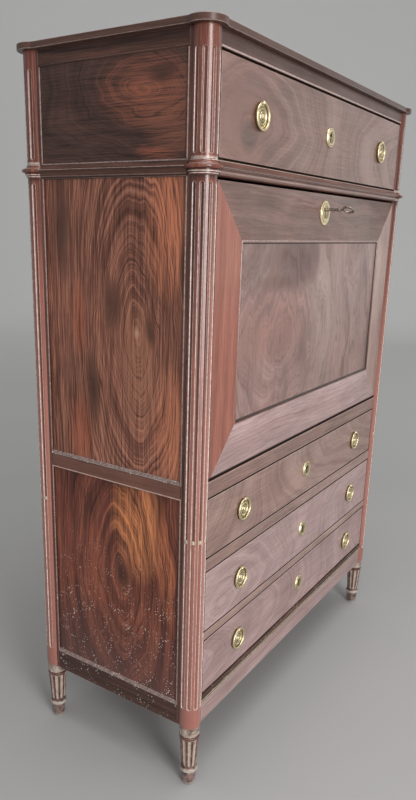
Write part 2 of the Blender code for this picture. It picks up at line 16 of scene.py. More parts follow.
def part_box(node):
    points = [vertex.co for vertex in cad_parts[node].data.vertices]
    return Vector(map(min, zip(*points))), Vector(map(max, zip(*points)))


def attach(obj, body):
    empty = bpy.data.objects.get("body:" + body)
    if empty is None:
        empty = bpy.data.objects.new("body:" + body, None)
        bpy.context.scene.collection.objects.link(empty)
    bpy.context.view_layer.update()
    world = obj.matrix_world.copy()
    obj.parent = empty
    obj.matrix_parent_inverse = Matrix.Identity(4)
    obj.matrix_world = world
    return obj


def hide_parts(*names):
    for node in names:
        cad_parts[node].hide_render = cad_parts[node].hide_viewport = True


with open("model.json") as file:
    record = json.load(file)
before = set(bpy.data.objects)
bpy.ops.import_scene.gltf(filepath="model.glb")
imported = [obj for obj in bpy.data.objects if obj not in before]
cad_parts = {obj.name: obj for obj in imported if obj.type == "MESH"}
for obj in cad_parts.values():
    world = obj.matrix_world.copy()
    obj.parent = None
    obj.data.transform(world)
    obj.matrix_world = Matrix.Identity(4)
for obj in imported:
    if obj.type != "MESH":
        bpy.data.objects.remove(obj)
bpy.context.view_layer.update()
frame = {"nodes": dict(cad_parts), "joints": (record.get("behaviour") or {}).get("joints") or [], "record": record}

# ---------------------------------------------------------------- places taken from the frame
RECORD = frame["record"]
MOUNTS = {mount["name"]: Vector(mount["pos_m"]) for mount in RECORD["mounts"]}
JOINTS = {joint["name"]: joint for joint in frame["joints"]}
SIDES = ((-1, "left"), (1, "right"))
UP, OUTWARD, RIGHT = Vector((0, 0, 1)), Vector((0, -1, 0)), Vector((1, 0, 0))

CAD_GAP = 0.0003                           # between two CAD nodes that touch in the real desk
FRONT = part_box("top_drawer_front")[0].y
AXIS_X = MOUNTS["floor_rest_front_right"].x
AXIS_FRONT = MOUNTS["floor_rest_front_right"].y
AXIS_REAR = MOUNTS["floor_rest_rear_right"].y
POST_IN = AXIS_FRONT - FRONT               # from a column's axis to the post's outer faces
SIDE_X = AXIS_X + POST_IN
BACK = AXIS_REAR + POST_IN
FOOT_LOW, FOOT_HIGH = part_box("foot_front_right")
COLUMN_R = (FOOT_HIGH.x - FOOT_LOW.x) / 2
TOP_LOW, TOP_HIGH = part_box("top_board")
BODY_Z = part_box("apron_board")[0].z
INNER_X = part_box("frieze_rail")[1].x + CAD_GAP
POST_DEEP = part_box("side_panel_main_right")[0].y - FRONT - 0.0026
WAIST_LOW, WAIST_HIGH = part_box("waist_rail")
ARRIS = FRONT - WAIST_LOW.y                # how far the waist moulding stands proud
FALL_LOW, FALL_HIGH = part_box("fall_frame")
PANEL_LOW, PANEL_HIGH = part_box("fall_panel")
FRIEZE_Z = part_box("frieze_rail")[0].z

# ---------------------------------------------------------------- sizes of the fine work
FLUTE_ANGLES = [math.radians(angle) for angle in (-57, -19, 19, 57)]
FLUTE_HALF = 0.0038                        # half the width of a flute
FLUTE_DEEP = 0.0030
ARRIS_WIDE = 0.0012                        # width of the pale band beside a flute: rubbed wood and painted highlight
CABLE_TOP = 0.5345                         # stop-flutes fill the lower flutes up to here
TOP_OVERHANG, BACK_OVERHANG = 0.012, 0.002
GRAIN = "grain"                            # vertex attribute: across, into and along the log
TINT = "tint"                              # vertex attribute: redder and lighter than its neighbours
WEAR_AND_PAINTED_LIGHT = "wear"                              # vertex attribute: 1 on pale arrises, -1 in dark corners and gaps: wear and dirt, and painted highlight and painted shade as well
SHARP_FROM, SHARP_FULL = math.radians(26), math.radians(42)
SHADE_DEPTHS = (0.0012, 0.0100)             # the edges beside a gap are painted dark, as shade, between these depths
LOCK_HALF, LOCK_BACK = 0.0175, 0.0180      # recess of the fall's lock, painted dark as shade: its half width and its depth
FLAT_ANGLE = 20                            # boards shade smooth only across turns below this many degrees


# ---------------------------------------------------------------- mesh tools
def mm(points, out=0.0, up=0.0):
    """Points whose first two numbers are millimetres from (out, up), with those two in metres."""
    return [(out + point[0] / 1000, up + point[1] / 1000, *point[2:]) for point in points]


def arc(centre, radius, start, end, steps, tall=None):
    """Points of an arc between two angles in degrees, ends included. An oval's upright radius is tall."""
    points = []
    for step in range(steps + 1):
        angle = math.radians(start + (end - start) * step / steps)
        up = (tall or radius) * math.sin(angle)
        points.append((centre[0] + radius * math.cos(angle), centre[1] + up))
    return points


def marked(points, wear):
    """(out, up) points with the same wear added to each."""
    return [(*point, wear) for point in points]


def finished(bm, smooth=35):
    """The mesh of a shape, smooth across turns below an angle in degrees."""
    bmesh.ops.recalc_face_normals(bm, faces=bm.faces)
    mesh = bpy.data.meshes.new("shape")
    bm.to_mesh(mesh)
    bm.free()
    mesh.shade_smooth()
    mesh.set_sharp_from_angle(angle=math.radians(smooth))
    return mesh


def skin(bm, rows, ring=True):
    """Quads between rows of vertices. In a ring the last vertex of a row meets its first."""
    for lower, upper in zip(rows, rows[1:]):
        count = len(lower)
        for index in range(count if ring else count - 1):
            after = (index + 1) % count
            bm.faces.new((lower[index], lower[after], upper[after], upper[index]))


def lay_grain(mesh, axes, seed, tint=0.0, origin=None):
    """Places the mesh in a log. axes names what runs across, into and along it, such as "ZYX"."""
    rng = random.Random(seed)
    shift = [rng.uniform(-0.25, 0.25), rng.uniform(0.03, 0.14), rng.uniform(-4, 4)]
    if origin is not None:
        shift = [-value for value in origin]
    order = ["XYZ".index(axis) for axis in axes]
    places = []
    for vertex in mesh.vertices:
        places += [vertex.co[axis] + extra for axis, extra in zip(order, shift)]
    grain = mesh.attributes.new(GRAIN, "FLOAT_VECTOR", "POINT")
    grain.data.foreach_set("vector", places)
    tints = mesh.attributes.new(TINT, "FLOAT", "POINT")
    tints.data.foreach_set("value", [tint] * len(mesh.vertices))
    return mesh


def sharp_marks(mesh, base=0.0):
    """1 for vertices on sharp outer arrises, -1 in sharp inner corners and the base value elsewhere."""
    bm = bmesh.new()
    bm.from_mesh(mesh)
    marks = []
    for vertex in bm.verts:
        turns = [edge.calc_face_angle_signed(0.0) for edge in vertex.link_edges] or [0.0]
        rise = (max(turns) - SHARP_FROM) / (SHARP_FULL - SHARP_FROM)
        fall = (-min(turns) - SHARP_FROM) / (SHARP_FULL - SHARP_FROM)
        mark = base + (1.0 - base) * min(1.0, max(0.0, rise)) - (1.0 + base) * min(1.0, max(0.0, fall))
        marks.append(max(-1.0, mark))
    bm.free()
    return marks


def set_wear_and_painted_light(mesh, marks):
    """Stores a wear for each vertex, or one number for all."""
    if not isinstance(marks, list):
        marks = [marks] * len(mesh.vertices)
    mesh.attributes.new(WEAR_AND_PAINTED_LIGHT, "FLOAT", "POINT").data.foreach_set("value", marks)
    return mesh


def mark_wear_and_painted_light(mesh, base=0.0):
    return set_wear_and_painted_light(mesh, sharp_marks(mesh, base))


def split_by(bm, point, normal, **settings):
    """Cuts all edges and faces along a plane."""
    parts = bm.verts[:] + bm.edges[:] + bm.faces[:]
    return bmesh.ops.bisect_plane(bm, geom=parts, dist=0.00001, plane_co=point, plane_no=normal, **settings)


def gap_shade(mesh):
    """Pale front arrises, worn and with painted highlight, and painted shade right behind them, where the piece's
    edges face a gap.
    """
    bm = bmesh.new()
    bm.from_mesh(mesh)
    for depth in SHADE_DEPTHS:
        split_by(bm, (0, FRONT + depth, 0), (0, 1, 0))
    bm.to_mesh(mesh)
    bm.free()
    marks = []
    for vertex, mark in zip(mesh.vertices, sharp_marks(mesh)):
        depth = vertex.co.y - FRONT
        in_lock = abs(vertex.co.x) < LOCK_HALF and depth < LOCK_BACK
        # Painted shade in the gap and in the lock's recess: near black close behind the front, faint farther back.
        if depth > SHADE_DEPTHS[0] - 0.0001:
            mark = -1.0 if in_lock or depth < SHADE_DEPTHS[1] + 0.0001 else -0.15
        marks.append(mark)
    return set_wear_and_painted_light(mesh, marks)


def add_piece(name, mesh, material, body, *stands_for):
    """Adds a piece that rides on a body and stands for the CAD nodes named."""
    if WEAR_AND_PAINTED_LIGHT not in mesh.attributes:
        mark_wear_and_painted_light(mesh)
    mesh.materials.clear()
    mesh.materials.append(material)
    piece = bpy.data.objects.new(name, mesh)
    bpy.context.scene.collection.objects.link(piece)
    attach(piece, body)
    if stands_for:
        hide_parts(*stands_for)


def stand_in(node, ending, mesh, material, body, axes, seed, tint=0.0, origin=None):
    """Adds a grained piece that stands for one CAD node and is named after it."""
    add_piece(f"{node}_{ending}", lay_grain(mesh, axes, seed, tint, origin), material, body, node)


def bevelled(bm, width, angle=30, segments=2):
    """Rounds every edge sharper than an angle."""
    sharp = [e for e in bm.edges if e.is_manifold and e.calc_face_angle(0) > math.radians(angle)]
    bmesh.ops.bevel(
        bm, geom=sharp, offset=width, offset_type="OFFSET", segments=segments,
        profile=0.5, affect="EDGES", clamp_overlap=True,
    )
    return bm


def board(low, high, width=0.0008):
    """Board between two corners with its arrises taken off."""
    bm = bmesh.new()
    size = Vector(high) - Vector(low)
    centre = (Vector(high) + Vector(low)) / 2
    bmesh.ops.create_cube(bm, size=1.0, matrix=Matrix.Translation(centre) @ Matrix.Diagonal((*size, 1)))
    return finished(bevelled(bm, width), FLAT_ANGLE)


def prism(corners, path, width=0.0):
    """Flat outline of world points pushed along a vector."""
    bm = bmesh.new()
    face = bm.faces.new([bm.verts.new(corner) for corner in corners])
    grown = bmesh.ops.extrude_face_region(bm, geom=[face])
    moved = [item for item in grown["geom"] if isinstance(item, bmesh.types.BMVert)]
    bmesh.ops.translate(bm, verts=moved, vec=path)
    if width:
        bevelled(bm, width, 40)
    return finished(bm, FLAT_ANGLE)


def node_shape(node):
    """The CAD node's own shape, with one flat face where it has many triangles."""
    bm = bmesh.new()
    bm.from_mesh(frame["nodes"][node].data)
    bmesh.ops.remove_doubles(bm, verts=bm.verts, dist=0.00002)
    bmesh.ops.dissolve_limit(bm, angle_limit=math.radians(1), verts=bm.verts, edges=bm.edges)
    return bm


def refined(node, width):
    """The CAD node's own shape with its arrises taken off, as a new mesh."""
    return finished(bevelled(node_shape(node), width, 40), FLAT_ANGLE)


def turned(profile, centre, axis=UP, segments=48, smooth=35):
    """(radius, height) profile spun round an axis through the centre."""
    turn = UP.rotation_difference(axis).to_matrix().to_4x4()
    bm = bmesh.new()
    verts = [bm.verts.new((radius, 0, height)) for radius, height in profile]
    edges = [bm.edges.new(pair) for pair in zip(verts, verts[1:])]
    bmesh.ops.spin(
        bm, geom=verts + edges, cent=(0, 0, 0), axis=(0, 0, 1),
        angle=2 * math.pi, steps=segments, use_merge=True,
    )
    bmesh.ops.remove_doubles(bm, verts=bm.verts, dist=0.00001)
    bm.transform(Matrix.Translation(centre) @ turn)
    return finished(bm, smooth)


def swept(path, radius, sides=12, closed=False):
    """Round bar along a list of points. The radius is a number, or a function of the share of the path."""
    bm = bmesh.new()
    rings = []
    count = len(path)
    for index, point in enumerate(path):
        before = path[index - 1] if index or closed else path[index]
        after = path[(index + 1) % count] if index < count - 1 or closed else path[index]
        along = (after - before).normalized()
        side = along.orthogonal() if not rings else (last_side - along * last_side.dot(along))
        side.normalize()
        last_side = side
        up = along.cross(side)
        thick = radius(index / (count - 1)) if callable(radius) else radius
        turns = [2 * math.pi * step / sides for step in range(sides)]
        rings.append([bm.verts.new(point + (side * math.cos(t) + up * math.sin(t)) * thick) for t in turns])
    if closed:
        start = min(range(sides), key=lambda step: (rings[0][step].co - rings[-1][0].co).length)
        rings.append(rings[0][start:] + rings[0][:start])
    skin(bm, rings)
    if not closed:
        bm.faces.new(rings[0][::-1])
        bm.faces.new(rings[-1])
    return finished(bm, 50)


def out_across(out, x, z):
    """Point in front of the front plane."""
    return Vector((x, FRONT - out, z))


def run_profile(profile, place, start, end):
    """Closed (out, up) or (out, up, wear) outline run between two positions; place gives the points."""
    bm = bmesh.new()
    rows = [[bm.verts.new(place(point[0], spot, point[1])) for point in profile] for spot in (start, end)]
    skin(bm, rows)
    bm.faces.new(rows[0][::-1])
    bm.faces.new(rows[1])
    mesh = finished(bm, 25)
    if len(profile[0]) == 3:
        set_wear_and_painted_light(mesh, [point[2] for point in profile] * 2)
    return mesh


def window_moulding(profile, low, high, place):
    """Closed (inset, out) profile run round the rectangle of two corners, with mitres."""
    bm = bmesh.new()
    loops = []
    for inset, out in profile:
        left, right = low.x + inset, high.x - inset
        bottom, top = low.z + inset, high.z - inset
        corners = ((left, bottom), (right, bottom), (right, top), (left, top))
        loops.append([bm.verts.new(place(out, x, z)) for x, z in corners])
    skin(bm, loops + loops[:1])
    return finished(bm, 25)


def joined(meshes):
    """Several meshes as one."""
    bm = bmesh.new()
    for mesh in meshes:
        bm.from_mesh(mesh)
    mesh = bpy.data.meshes.new("joined")
    bm.to_mesh(mesh)
    bm.free()
    return mesh


def with_hole(mesh, cutter, smooth=FLAT_ANGLE):
    """The mesh with the cutter's shape taken out."""
    base = bpy.data.objects.new("base", mesh)
    tool = bpy.data.objects.new("tool", cutter)
    for obj in (base, tool):
        bpy.context.scene.collection.objects.link(obj)
    modifier = base.modifiers.new("cut", "BOOLEAN")
    modifier.operation = "DIFFERENCE"
    modifier.solver = "EXACT"
    modifier.object = tool
    bpy.context.view_layer.update()
    made = bpy.data.meshes.new_from_object(base.evaluated_get(bpy.context.evaluated_depsgraph_get()))
    bpy.data.objects.remove(base)
    bpy.data.objects.remove(tool)
    made.set_sharp_from_angle(angle=math.radians(smooth))
    return made


# ---------------------------------------------------------------- material tools
class Value:
    """What a node puts out. Adding, subtracting or multiplying it adds the node that does the sum."""

    def __init__(self, nodes, socket):
        self.nodes = nodes
        self.socket = socket

    def __add__(self, other):
        return self.nodes.math("ADD", self, other)

    def __sub__(self, other):
        return self.nodes.math("SUBTRACT", self, other)

    def __mul__(self, other):
        return self.nodes.math("MULTIPLY", self, other)


class Nodes:
    """Adds and links the nodes of one material."""

    def __init__(self, name):
        self.material = bpy.data.materials.new(name)
        self.material.use_nodes = True
        self.tree = self.material.node_tree
        self.shader = self.tree.nodes["Principled BSDF"]

    def fill(self, socket, value):
        if isinstance(value, Value):
            self.tree.links.new(value.socket, socket)
        else:
            socket.default_value = (*value, 1.0) if socket.type == "RGBA" else value

    def add(self, kind, inputs, output=0, **settings):
        """Adds a node with its settings and inputs, and gives one of its outputs."""
        node = self.tree.nodes.new(f"ShaderNode{kind}")
        for key, value in settings.items():
            setattr(node, key, value)
        for key, value in inputs.items():
            self.fill(node.inputs[key], value)
        return Value(self, node.outputs[output])

    def attribute(self, name, output="Fac"):
        return self.add("Attribute", {}, output, attribute_name=name)

    def position(self):
        return self.add("TexCoord", {}, "Object")

    def math(self, operation, first, second=0.0):
        return self.add("Math", {0: first, 1: second}, operation=operation)

    def stretch(self, vector, scale):
        return self.add("VectorMath", {0: vector, 1: scale, 2: (0, 0, 0)}, operation="MULTIPLY_ADD")

    def split(self, vector):
        node = self.add("SeparateXYZ", {0: vector}).socket.node
        return [Value(self, socket) for socket in node.outputs]

    def join(self, x, y, z):
        return self.add("CombineXYZ", {0: x, 1: y, 2: z})

    def noise(self, vector, scale=1.0, detail=2.0, roughness=0.5, distortion=0.0):
        shape = {"Scale": scale, "Detail": detail, "Roughness": roughness, "Distortion": distortion}
        return self.add("TexNoise", {"Vector": vector, **shape}, "Fac")

    def cells(self, vector, scale):
        return self.add("TexVoronoi", {"Vector": vector, "Scale": scale}, "Distance")

    def remap(self, value, low, high, new_low=0.0, new_high=1.0):
        return self.add("MapRange", {0: value, 1: low, 2: high, 3: new_low, 4: new_high})

    def ramp(self, value, stops):
        made = self.add("ValToRGB", {0: value})
        marks = made.socket.node.color_ramp.elements
        while len(marks) < len(stops):
            marks.new(0.5)
        for mark, (place, colour) in zip(marks, stops):
            mark.position = place
            mark.color = (*colour, 1.0)
        return made

    def mix(self, factor, first, second, blend="MIX"):
        return self.add("Mix", {0: factor, 6: first, 7: second}, 2, data_type="RGBA", blend_type=blend)

    def bump(self, height, distance, strength, **under):
        return self.add("Bump", {"Strength": strength, "Distance": distance, "Height": height, **under})

    def surface(self, colour, roughness, normal=None, **constants):
        self.fill(self.shader.inputs["Base Color"], colour)
        self.fill(self.shader.inputs["Roughness"], roughness)
        if normal is not None:
            self.fill(self.shader.inputs["Normal"], normal)
        for key, value in constants.items():
            self.shader.inputs[key.replace("_", " ").title().replace("Ior", "IOR")].default_value = value
        return self.material


# ---------------------------------------------------------------- materials
PALE_RUB_AND_HIGHLIGHT = (520, 410, 380)                 # bare, dusty wood where the polish is rubbed through, and painted highlight on the arrises
SPECK = (0.80, 0.72, 0.66)                 # small splashes of old limewash
FLOOR_NEAR, FLOOR_FAR = (0.42, 0.42, 0.415), (0.82, 0.82, 0.815)


def milli(numbers, share=1.0):
    """Numbers given in thousandths, times a share."""
    return tuple(number / 1000 * share for number in numbers)


def wood(
    name, dark, middle, light, bands=55.0, wander=0.06, taper=0.02, spread=5.0, mottle=0.18, polish=0.36,
    coat=0.22, mixture=(0.45, 0.25, 0.30), glows=(), specks=0.0, speck_high=0.50, rub=0.75, rubbed=PALE_RUB_AND_HIGHLIGHT,
    bloom=None, shine=0.5,
):
    """Veneer or solid wood. Colours, glows and the bloom are given in thousandths.

    The rings lie round the log's axis, which wanders. They close into arches along the log, steeper with a
    larger taper, and run straight again farther than the spread from the axis. The mixture weighs broad
    bands, fine rings and fibres. A glow is (across, along, half width, half length, red, green, blue). The
    bloom is (height, fade, strength, red, green, blue): a veil that grows below that height over the fade. On
    the columns it is a painted highlight that makes their lower part lighter.
    """
    n = Nodes(name)
    place = n.attribute(GRAIN, "Vector")
    wear = n.attribute(WEAR_AND_PAINTED_LIGHT)
    spot = n.position()
    height = n.split(spot)[2]
    across, into, along = n.split(place)

    def fibres(over, up, detail, roughness=0.5, distortion=0.0):
        return n.noise(n.stretch(place, (over, over, up)), 1.0, detail, roughness, distortion)

    slow = fibres(4.5, 1.6, 3.0) - 0.5
    quick = fibres(34.0, 9.0, 2.0) - 0.5
    drift = slow * wander + quick * (wander * 0.22)
    side = across + drift
    deep = into + drift * 0.5
    radius = n.math("SQRT", side * side + deep * deep)
    reach = n.math("SQRT", along * along + 0.0005)
    scaled = side * (1.0 / spread)
    field = radius + n.math("DIVIDE", taper, scaled * scaled + 1.0) * reach
    broad = n.noise(n.join(field * bands, 0.0, along * 0.9), 1.0, 3.0, 0.6)
    rings = n.noise(n.join(field * (bands * 6), across, along * 2.5))
    streaks = fibres(620.0, 14.0, 3.0, 0.6)
    tone = broad * mixture[0] + rings * mixture[1] + streaks * mixture[2] + n.attribute(TINT) * 0.07
    colour = n.ramp(tone, ((0.36, milli(dark)), (0.49, milli(middle)), (0.62, milli(light))))
    cloud = fibres(17.0, 8.0, 4.0, 0.6, 0.4)
    shade = n.remap(cloud + slow * 0.6, 0.3, 0.7, 1.0 - mottle, 1.0 + mottle)
    colour = n.mix(1.0, colour, n.join(shade, shade, shade), "MULTIPLY")
    for glow in glows:
        over, up, wide, tall, *glow_colour = milli(glow)
        x = (across + drift - over) * (1.0 / wide)
        z = (along - up) * (1.0 / tall)
        near = n.remap(x * x + z * z, 0.0, 1.0, 0.9, 0.0) * n.remap(tone, 0.42, 0.56, 0.10, 1.0)
        colour = n.mix(near, colour, glow_colour)
    if bloom:
        start, fade, strength, *veil = milli(bloom)
        colour = n.mix(n.remap(height + slow * 0.25, start, start - fade, 0.0, strength), colour, veil)
    pore = n.remap(fibres(1500.0, 70.0, 2.0, 0.6), 0.58, 0.70)
    colour = n.mix(pore * 0.45, colour, milli(dark, 0.4))
    patchy = n.remap(n.noise(spot, 170.0, 3.0, 0.6), 0.36, 0.60, 0.45, 1.0)
    # Pale where the wear is high: rubbed wood, and painted highlight on the arrises.
    bare = n.remap(wear, 0.15, 0.9, 0.0, rub) * patchy
    colour = n.mix(bare, colour, milli(rubbed))
    # Dark where the wear is low: dirt, and painted shade in corners and gaps.
    colour = n.mix(n.remap(wear, -0.10, -0.95, 0.0, 0.85), colour, milli(dark, 0.25))
    if specks:
        size = n.remap(n.noise(spot, 40.0, 3.0), 0.34, 0.66, 0.0, 0.25)
        dots = n.math("LESS_THAN", n.cells(spot, 205.0), size)
        colour = n.mix(dots * n.remap(height, speck_high - 0.16, speck_high, specks, 0.0), colour, SPECK)
    gloss = n.remap(n.noise(spot, 14.0, 3.0), 0.3, 0.7, polish - 0.05, polish + 0.06)
    gloss = gloss + pore * 0.15 + bare * 0.2
    fine = n.bump(streaks - pore * 0.8, 0.00005, 0.5)
    normal = n.bump(n.noise(spot, 9.0, 2.0), 0.0012, 0.10, Normal=fine)
    return n.surface(colour, gloss, normal, coat_weight=coat, coat_roughness=0.22, specular_ior_level=shine)


def brass(name):
    """Old lacquered brass: pale, with tarnish in patches, dark in the corners, and fine rubbing marks. The dark
    corners are patina, and painted shade in the keyholes and under the ring pulls.
    """
    n = Nodes(name)
    spot = n.position()
    wear = n.attribute(WEAR_AND_PAINTED_LIGHT)
    patches = n.noise(spot, 90.0, 4.0, 0.65)
    fine = n.noise(spot, 900.0, 2.0)
    stain = n.remap(patches * 0.75 + fine * 0.25, 0.47, 0.70) * n.remap(wear, 0.2, 1.0, 1.0, 0.2)
    tone = n.mix(stain * 0.45, (0.88, 0.77, 0.50), (0.15, 0.10, 0.045))
    # Dark where the wear is low: patina in corners, and painted shade in keyholes and under the rings.
    corner = n.remap(wear, -0.05, -0.8, 0.0, 0.9)
    tone = n.mix(corner, tone, (0.075, 0.05, 0.0225))
    gloss = n.remap(fine, 0.3, 0.7, 0.25, 0.38) + stain * 0.18 + corner * 0.25
    return n.surface(tone, gloss, n.bump(fine + patches * 0.8, 0.00012, 0.4), metallic=1.0)


def steel(name):
    """Dark worn steel with brown rust bloom."""
    n = Nodes(name)
    spot = n.position()
    bloom = n.remap(n.noise(spot, 160.0, 4.0, 0.7), 0.46, 0.64)
    fine = n.noise(spot, 1400.0, 2.0)
    tone = n.mix(bloom, (0.42, 0.37, 0.34), (0.11, 0.055, 0.036))
    tone = n.mix(n.remap(n.attribute(WEAR_AND_PAINTED_LIGHT), 0.3, 1.0, 0.0, 0.8), tone, (0.62, 0.55, 0.50))
    gloss = n.remap(fine + bloom, 0.4, 1.6, 0.26, 0.55)
    return n.surface(tone, gloss, n.bump(fine, 0.0001, 0.5), metallic=0.9)


def leather(name):
    """Dark green hide with a pebbled grain and worn patches."""
    n = Nodes(name)
    spot = n.position()
    pebbles = n.cells(spot, 620.0)
    worn = n.remap(n.noise(spot, 9.0, 4.0, 0.6), 0.45, 0.70)
    tone = n.mix(worn, (0.022, 0.050, 0.026), (0.050, 0.075, 0.038))
    tone = n.mix(n.remap(pebbles, 0.0, 0.7), (0.012, 0.028, 0.014), tone)
    gloss = n.remap(worn, 0.0, 1.0, 0.52, 0.38)
    return n.surface(tone, gloss, n.bump(pebbles, 0.0003, 0.5), specular_ior_level=0.4)


def gilding(name):
    """Gold leaf of the leather's tooled lines."""
    n = Nodes(name)
    rubbed = n.remap(n.noise(n.position(), 300.0, 3.0), 0.5, 0.65)
    tone = n.mix(rubbed, (0.72, 0.50, 0.20), (0.20, 0.14, 0.06))
    return n.surface(tone, n.remap(rubbed, 0.0, 1.0, 0.30, 0.6), n.bump(rubbed, 0.00005, 0.4), metallic=1.0)


def worn_foot(name):
    """Mahogany whose polish is rubbed to pale dusty wood on the ribs, the collar and the ring."""
    n = Nodes(name)
    spot = n.position()
    wear = n.attribute(WEAR_AND_PAINTED_LIGHT)
    fine = n.noise(spot, 420.0, 3.0, 0.65)
    patch = n.noise(spot, 75.0, 4.0, 0.65)
    bare = n.remap(wear + fine * 1.0 + patch * 1.3, 1.65, 2.15, 0.0, 0.9)
    wooden = n.mix(n.remap(patch, 0.35, 0.65), (0.060, 0.022, 0.016), (0.19, 0.080, 0.058))
    tone = n.mix(bare, wooden, (0.52, 0.44, 0.37))
    tone = n.mix(n.remap(wear, 0.10, 0.0, 0.0, 0.75), tone, (0.035, 0.014, 0.010))
    toe = n.remap(n.split(spot)[2], 0.050, 0.034)
    toe_tone = n.mix(n.remap(patch, 0.38, 0.62), (0.060, 0.050, 0.052), (0.30, 0.18, 0.15))
    tone = n.mix(toe, tone, n.mix(bare, toe_tone, (0.50, 0.45, 0.38)))
    gloss = n.remap(bare, 0.0, 1.0, 0.34, 0.62)
    return n.surface(tone, gloss, n.bump(fine + patch, 0.0004, 0.5), coat_weight=0.15, coat_roughness=0.2)


def pale_cap(name):
    """Light fruitwood of the small caps on the stop-flutes and of the apron's string line."""
    n = Nodes(name)
    dirt = n.remap(n.noise(n.position(), 500.0, 3.0), 0.45, 0.7)
    tone = n.mix(dirt, (0.50, 0.44, 0.32), (0.22, 0.16, 0.10))
    return n.surface(tone, n.remap(dirt, 0.0, 1.0, 0.30, 0.55), n.bump(dirt, 0.0001, 0.3))


def floor_surface(name):
    """Matt pale floor that is painted lighter where it rises into the backdrop."""
    n = Nodes(name)
    spot = n.position()
    x, y, _ = n.split(spot)
    tone = n.mix(n.remap(n.math("SQRT", x * x + y * y), 1.5, 6.5), FLOOR_NEAR, FLOOR_FAR)
    shade = n.remap(n.noise(spot, 1.3, 4.0), 0.3, 0.7, 0.985, 1.0)
    tone = n.mix(1.0, tone, n.join(shade, shade, shade), "MULTIPLY")
    return n.surface(tone, n.remap(n.noise(spot, 40.0, 2.0), 0.3, 0.7, 0.72, 0.82), specular_ior_level=0.15)


FRONT_CUT = {"bands": 34.0, "taper": 0.42, "spread": 0.10, "rub": 0.9}
SIDE_POLISH = {"polish": 0.38, "coat": 0.05, "shine": 0.28}
MAHOGANY = wood("mahogany", (34, 11.5, 8.5), (88, 31, 21), (170, 70, 46))
# The columns' near-white rubbed arrises are worn wood and painted highlight; their bloom, a pale veil that grows
# towards the bottom, is painted highlight.
COLUMN = wood(
    "column_mahogany", (48, 10, 6), (135, 36, 22), (290, 108, 75), bands=70.0, wander=0.03,
    polish=0.28, coat=0.4, rub=1.0, rubbed=(900, 800, 720), bloom=(1140, 520, 660, 460, 185, 145),
)
SIDE_RAIL = wood(
    "side_rail_mahogany", (22, 10.5, 8.5), (66, 30, 23), (135, 60, 42), bands=60.0,
    specks=0.9, speck_high=0.9, coat=0.08, shine=0.3,
)
STILE = wood(
    "mahogany_red", (190, 60, 40), (280, 96, 66), (400, 155, 105), bands=60.0, wander=0.03,
    mottle=0.08, mixture=(0.35, 0.20, 0.45),
)
FRIEZE = wood(
    "frieze_veneer", (44, 20, 14), (74, 35, 25), (112, 57, 43), bands=36.0,
    mottle=0.10, coat=0.12, shine=0.35,
)
# The front's veneers are lighter and greyer than the mahogany: their colours hold a painted sheen, the grey-mauve
# reflection on the polished front.
DRAWER = wood(
    "drawer_veneer", (145, 78, 62), (236, 142, 116), (355, 236, 202), wander=0.08,
    mixture=(0.36, 0.30, 0.34), **FRONT_CUT,
)
SWIRL = wood(
    "drawer_swirl_veneer", (112, 54, 39), (190, 102, 80), (300, 184, 156), wander=0.10, mottle=0.20,
    mixture=(0.42, 0.30, 0.28), **FRONT_CUT,
    glows=(
        (0, 520, 160, 400, 245, 158, 130), (10, -10, 85, 150, 165, 83, 64), (-18, 2, 26, 34, 60, 37, 31),
    ),
)
# Lighter copy of the drawer veneer for the lower front: painted light, where the lower drawers stand brighter in
# the light.
PALE = wood(
    "pale_drawer_veneer", (240, 147, 137), (345, 229, 218), (462, 328, 317), wander=0.08, mottle=0.14,
    mixture=(0.22, 0.32, 0.46), **FRONT_CUT,
)
PANEL = wood(
    "panel_veneer", (130, 70, 58), (228, 136, 117), (330, 220, 196), bands=22.0,
    wander=0.34, taper=0.75, spread=0.22, mottle=0.22, mixture=(0.32, 0.36, 0.32),
    glows=(
        (260, 20, 130, 200, 370, 262, 230), (-20, 40, 170, 100, 310, 160, 130),
        (70, 150, 170, 55, 75, 18, 10), (90, 158, 130, 50, 60, 14, 8), (20, 112, 150, 22, 85, 30, 20),
    ),
)
SIDE_MAIN = wood(
    "side_veneer", (32, 13.5, 9.8), (178, 68, 46), (450, 200, 130), bands=80.0,
    wander=0.085, taper=0.30, spread=0.070, mottle=0.24, mixture=(0.14, 0.40, 0.46), **SIDE_POLISH,
    glows=(
        (-75, 190, 55, 140, 600, 210, 110), (-80, -170, 55, 130, 550, 200, 110),
        (0, -50, 45, 120, 360, 165, 100),
        (130, -200, 35, 80, 420, 125, 70), (130, 20, 20, 80, 400, 125, 70), (98, -107, 18, 80, 34, 19, 15),
        (170, 180, 30, 110, 45, 27, 22), (55, 50, 26, 55, 45, 24, 18), (-34, 6, 14, 30, 40, 21, 16),
        (-115, 115, 14, 60, 35, 20, 16), (4, 4, 9, 14, 500, 300, 200),
    ),
)
SIDE_LOWER = wood(
    "side_flame_veneer", (16, 7, 5.5), (135, 41, 28), (360, 120, 70), bands=52.0,
    wander=0.10, taper=0.34, spread=0.09, mottle=0.30, specks=1.0, mixture=(0.38, 0.32, 0.30),
    bloom=(360, 140, 620, 100, 55, 52), **SIDE_POLISH,
    glows=(
        (-55, 115, 75, 130, 800, 300, 120), (-120, 50, 20, 130, 600, 200, 90),
        (127, 30, 14, 160, 300, 85, 55),
        (65, 0, 30, 110, 340, 105, 60), (0, 0, 26, 45, 20, 12, 9),
    ),
)
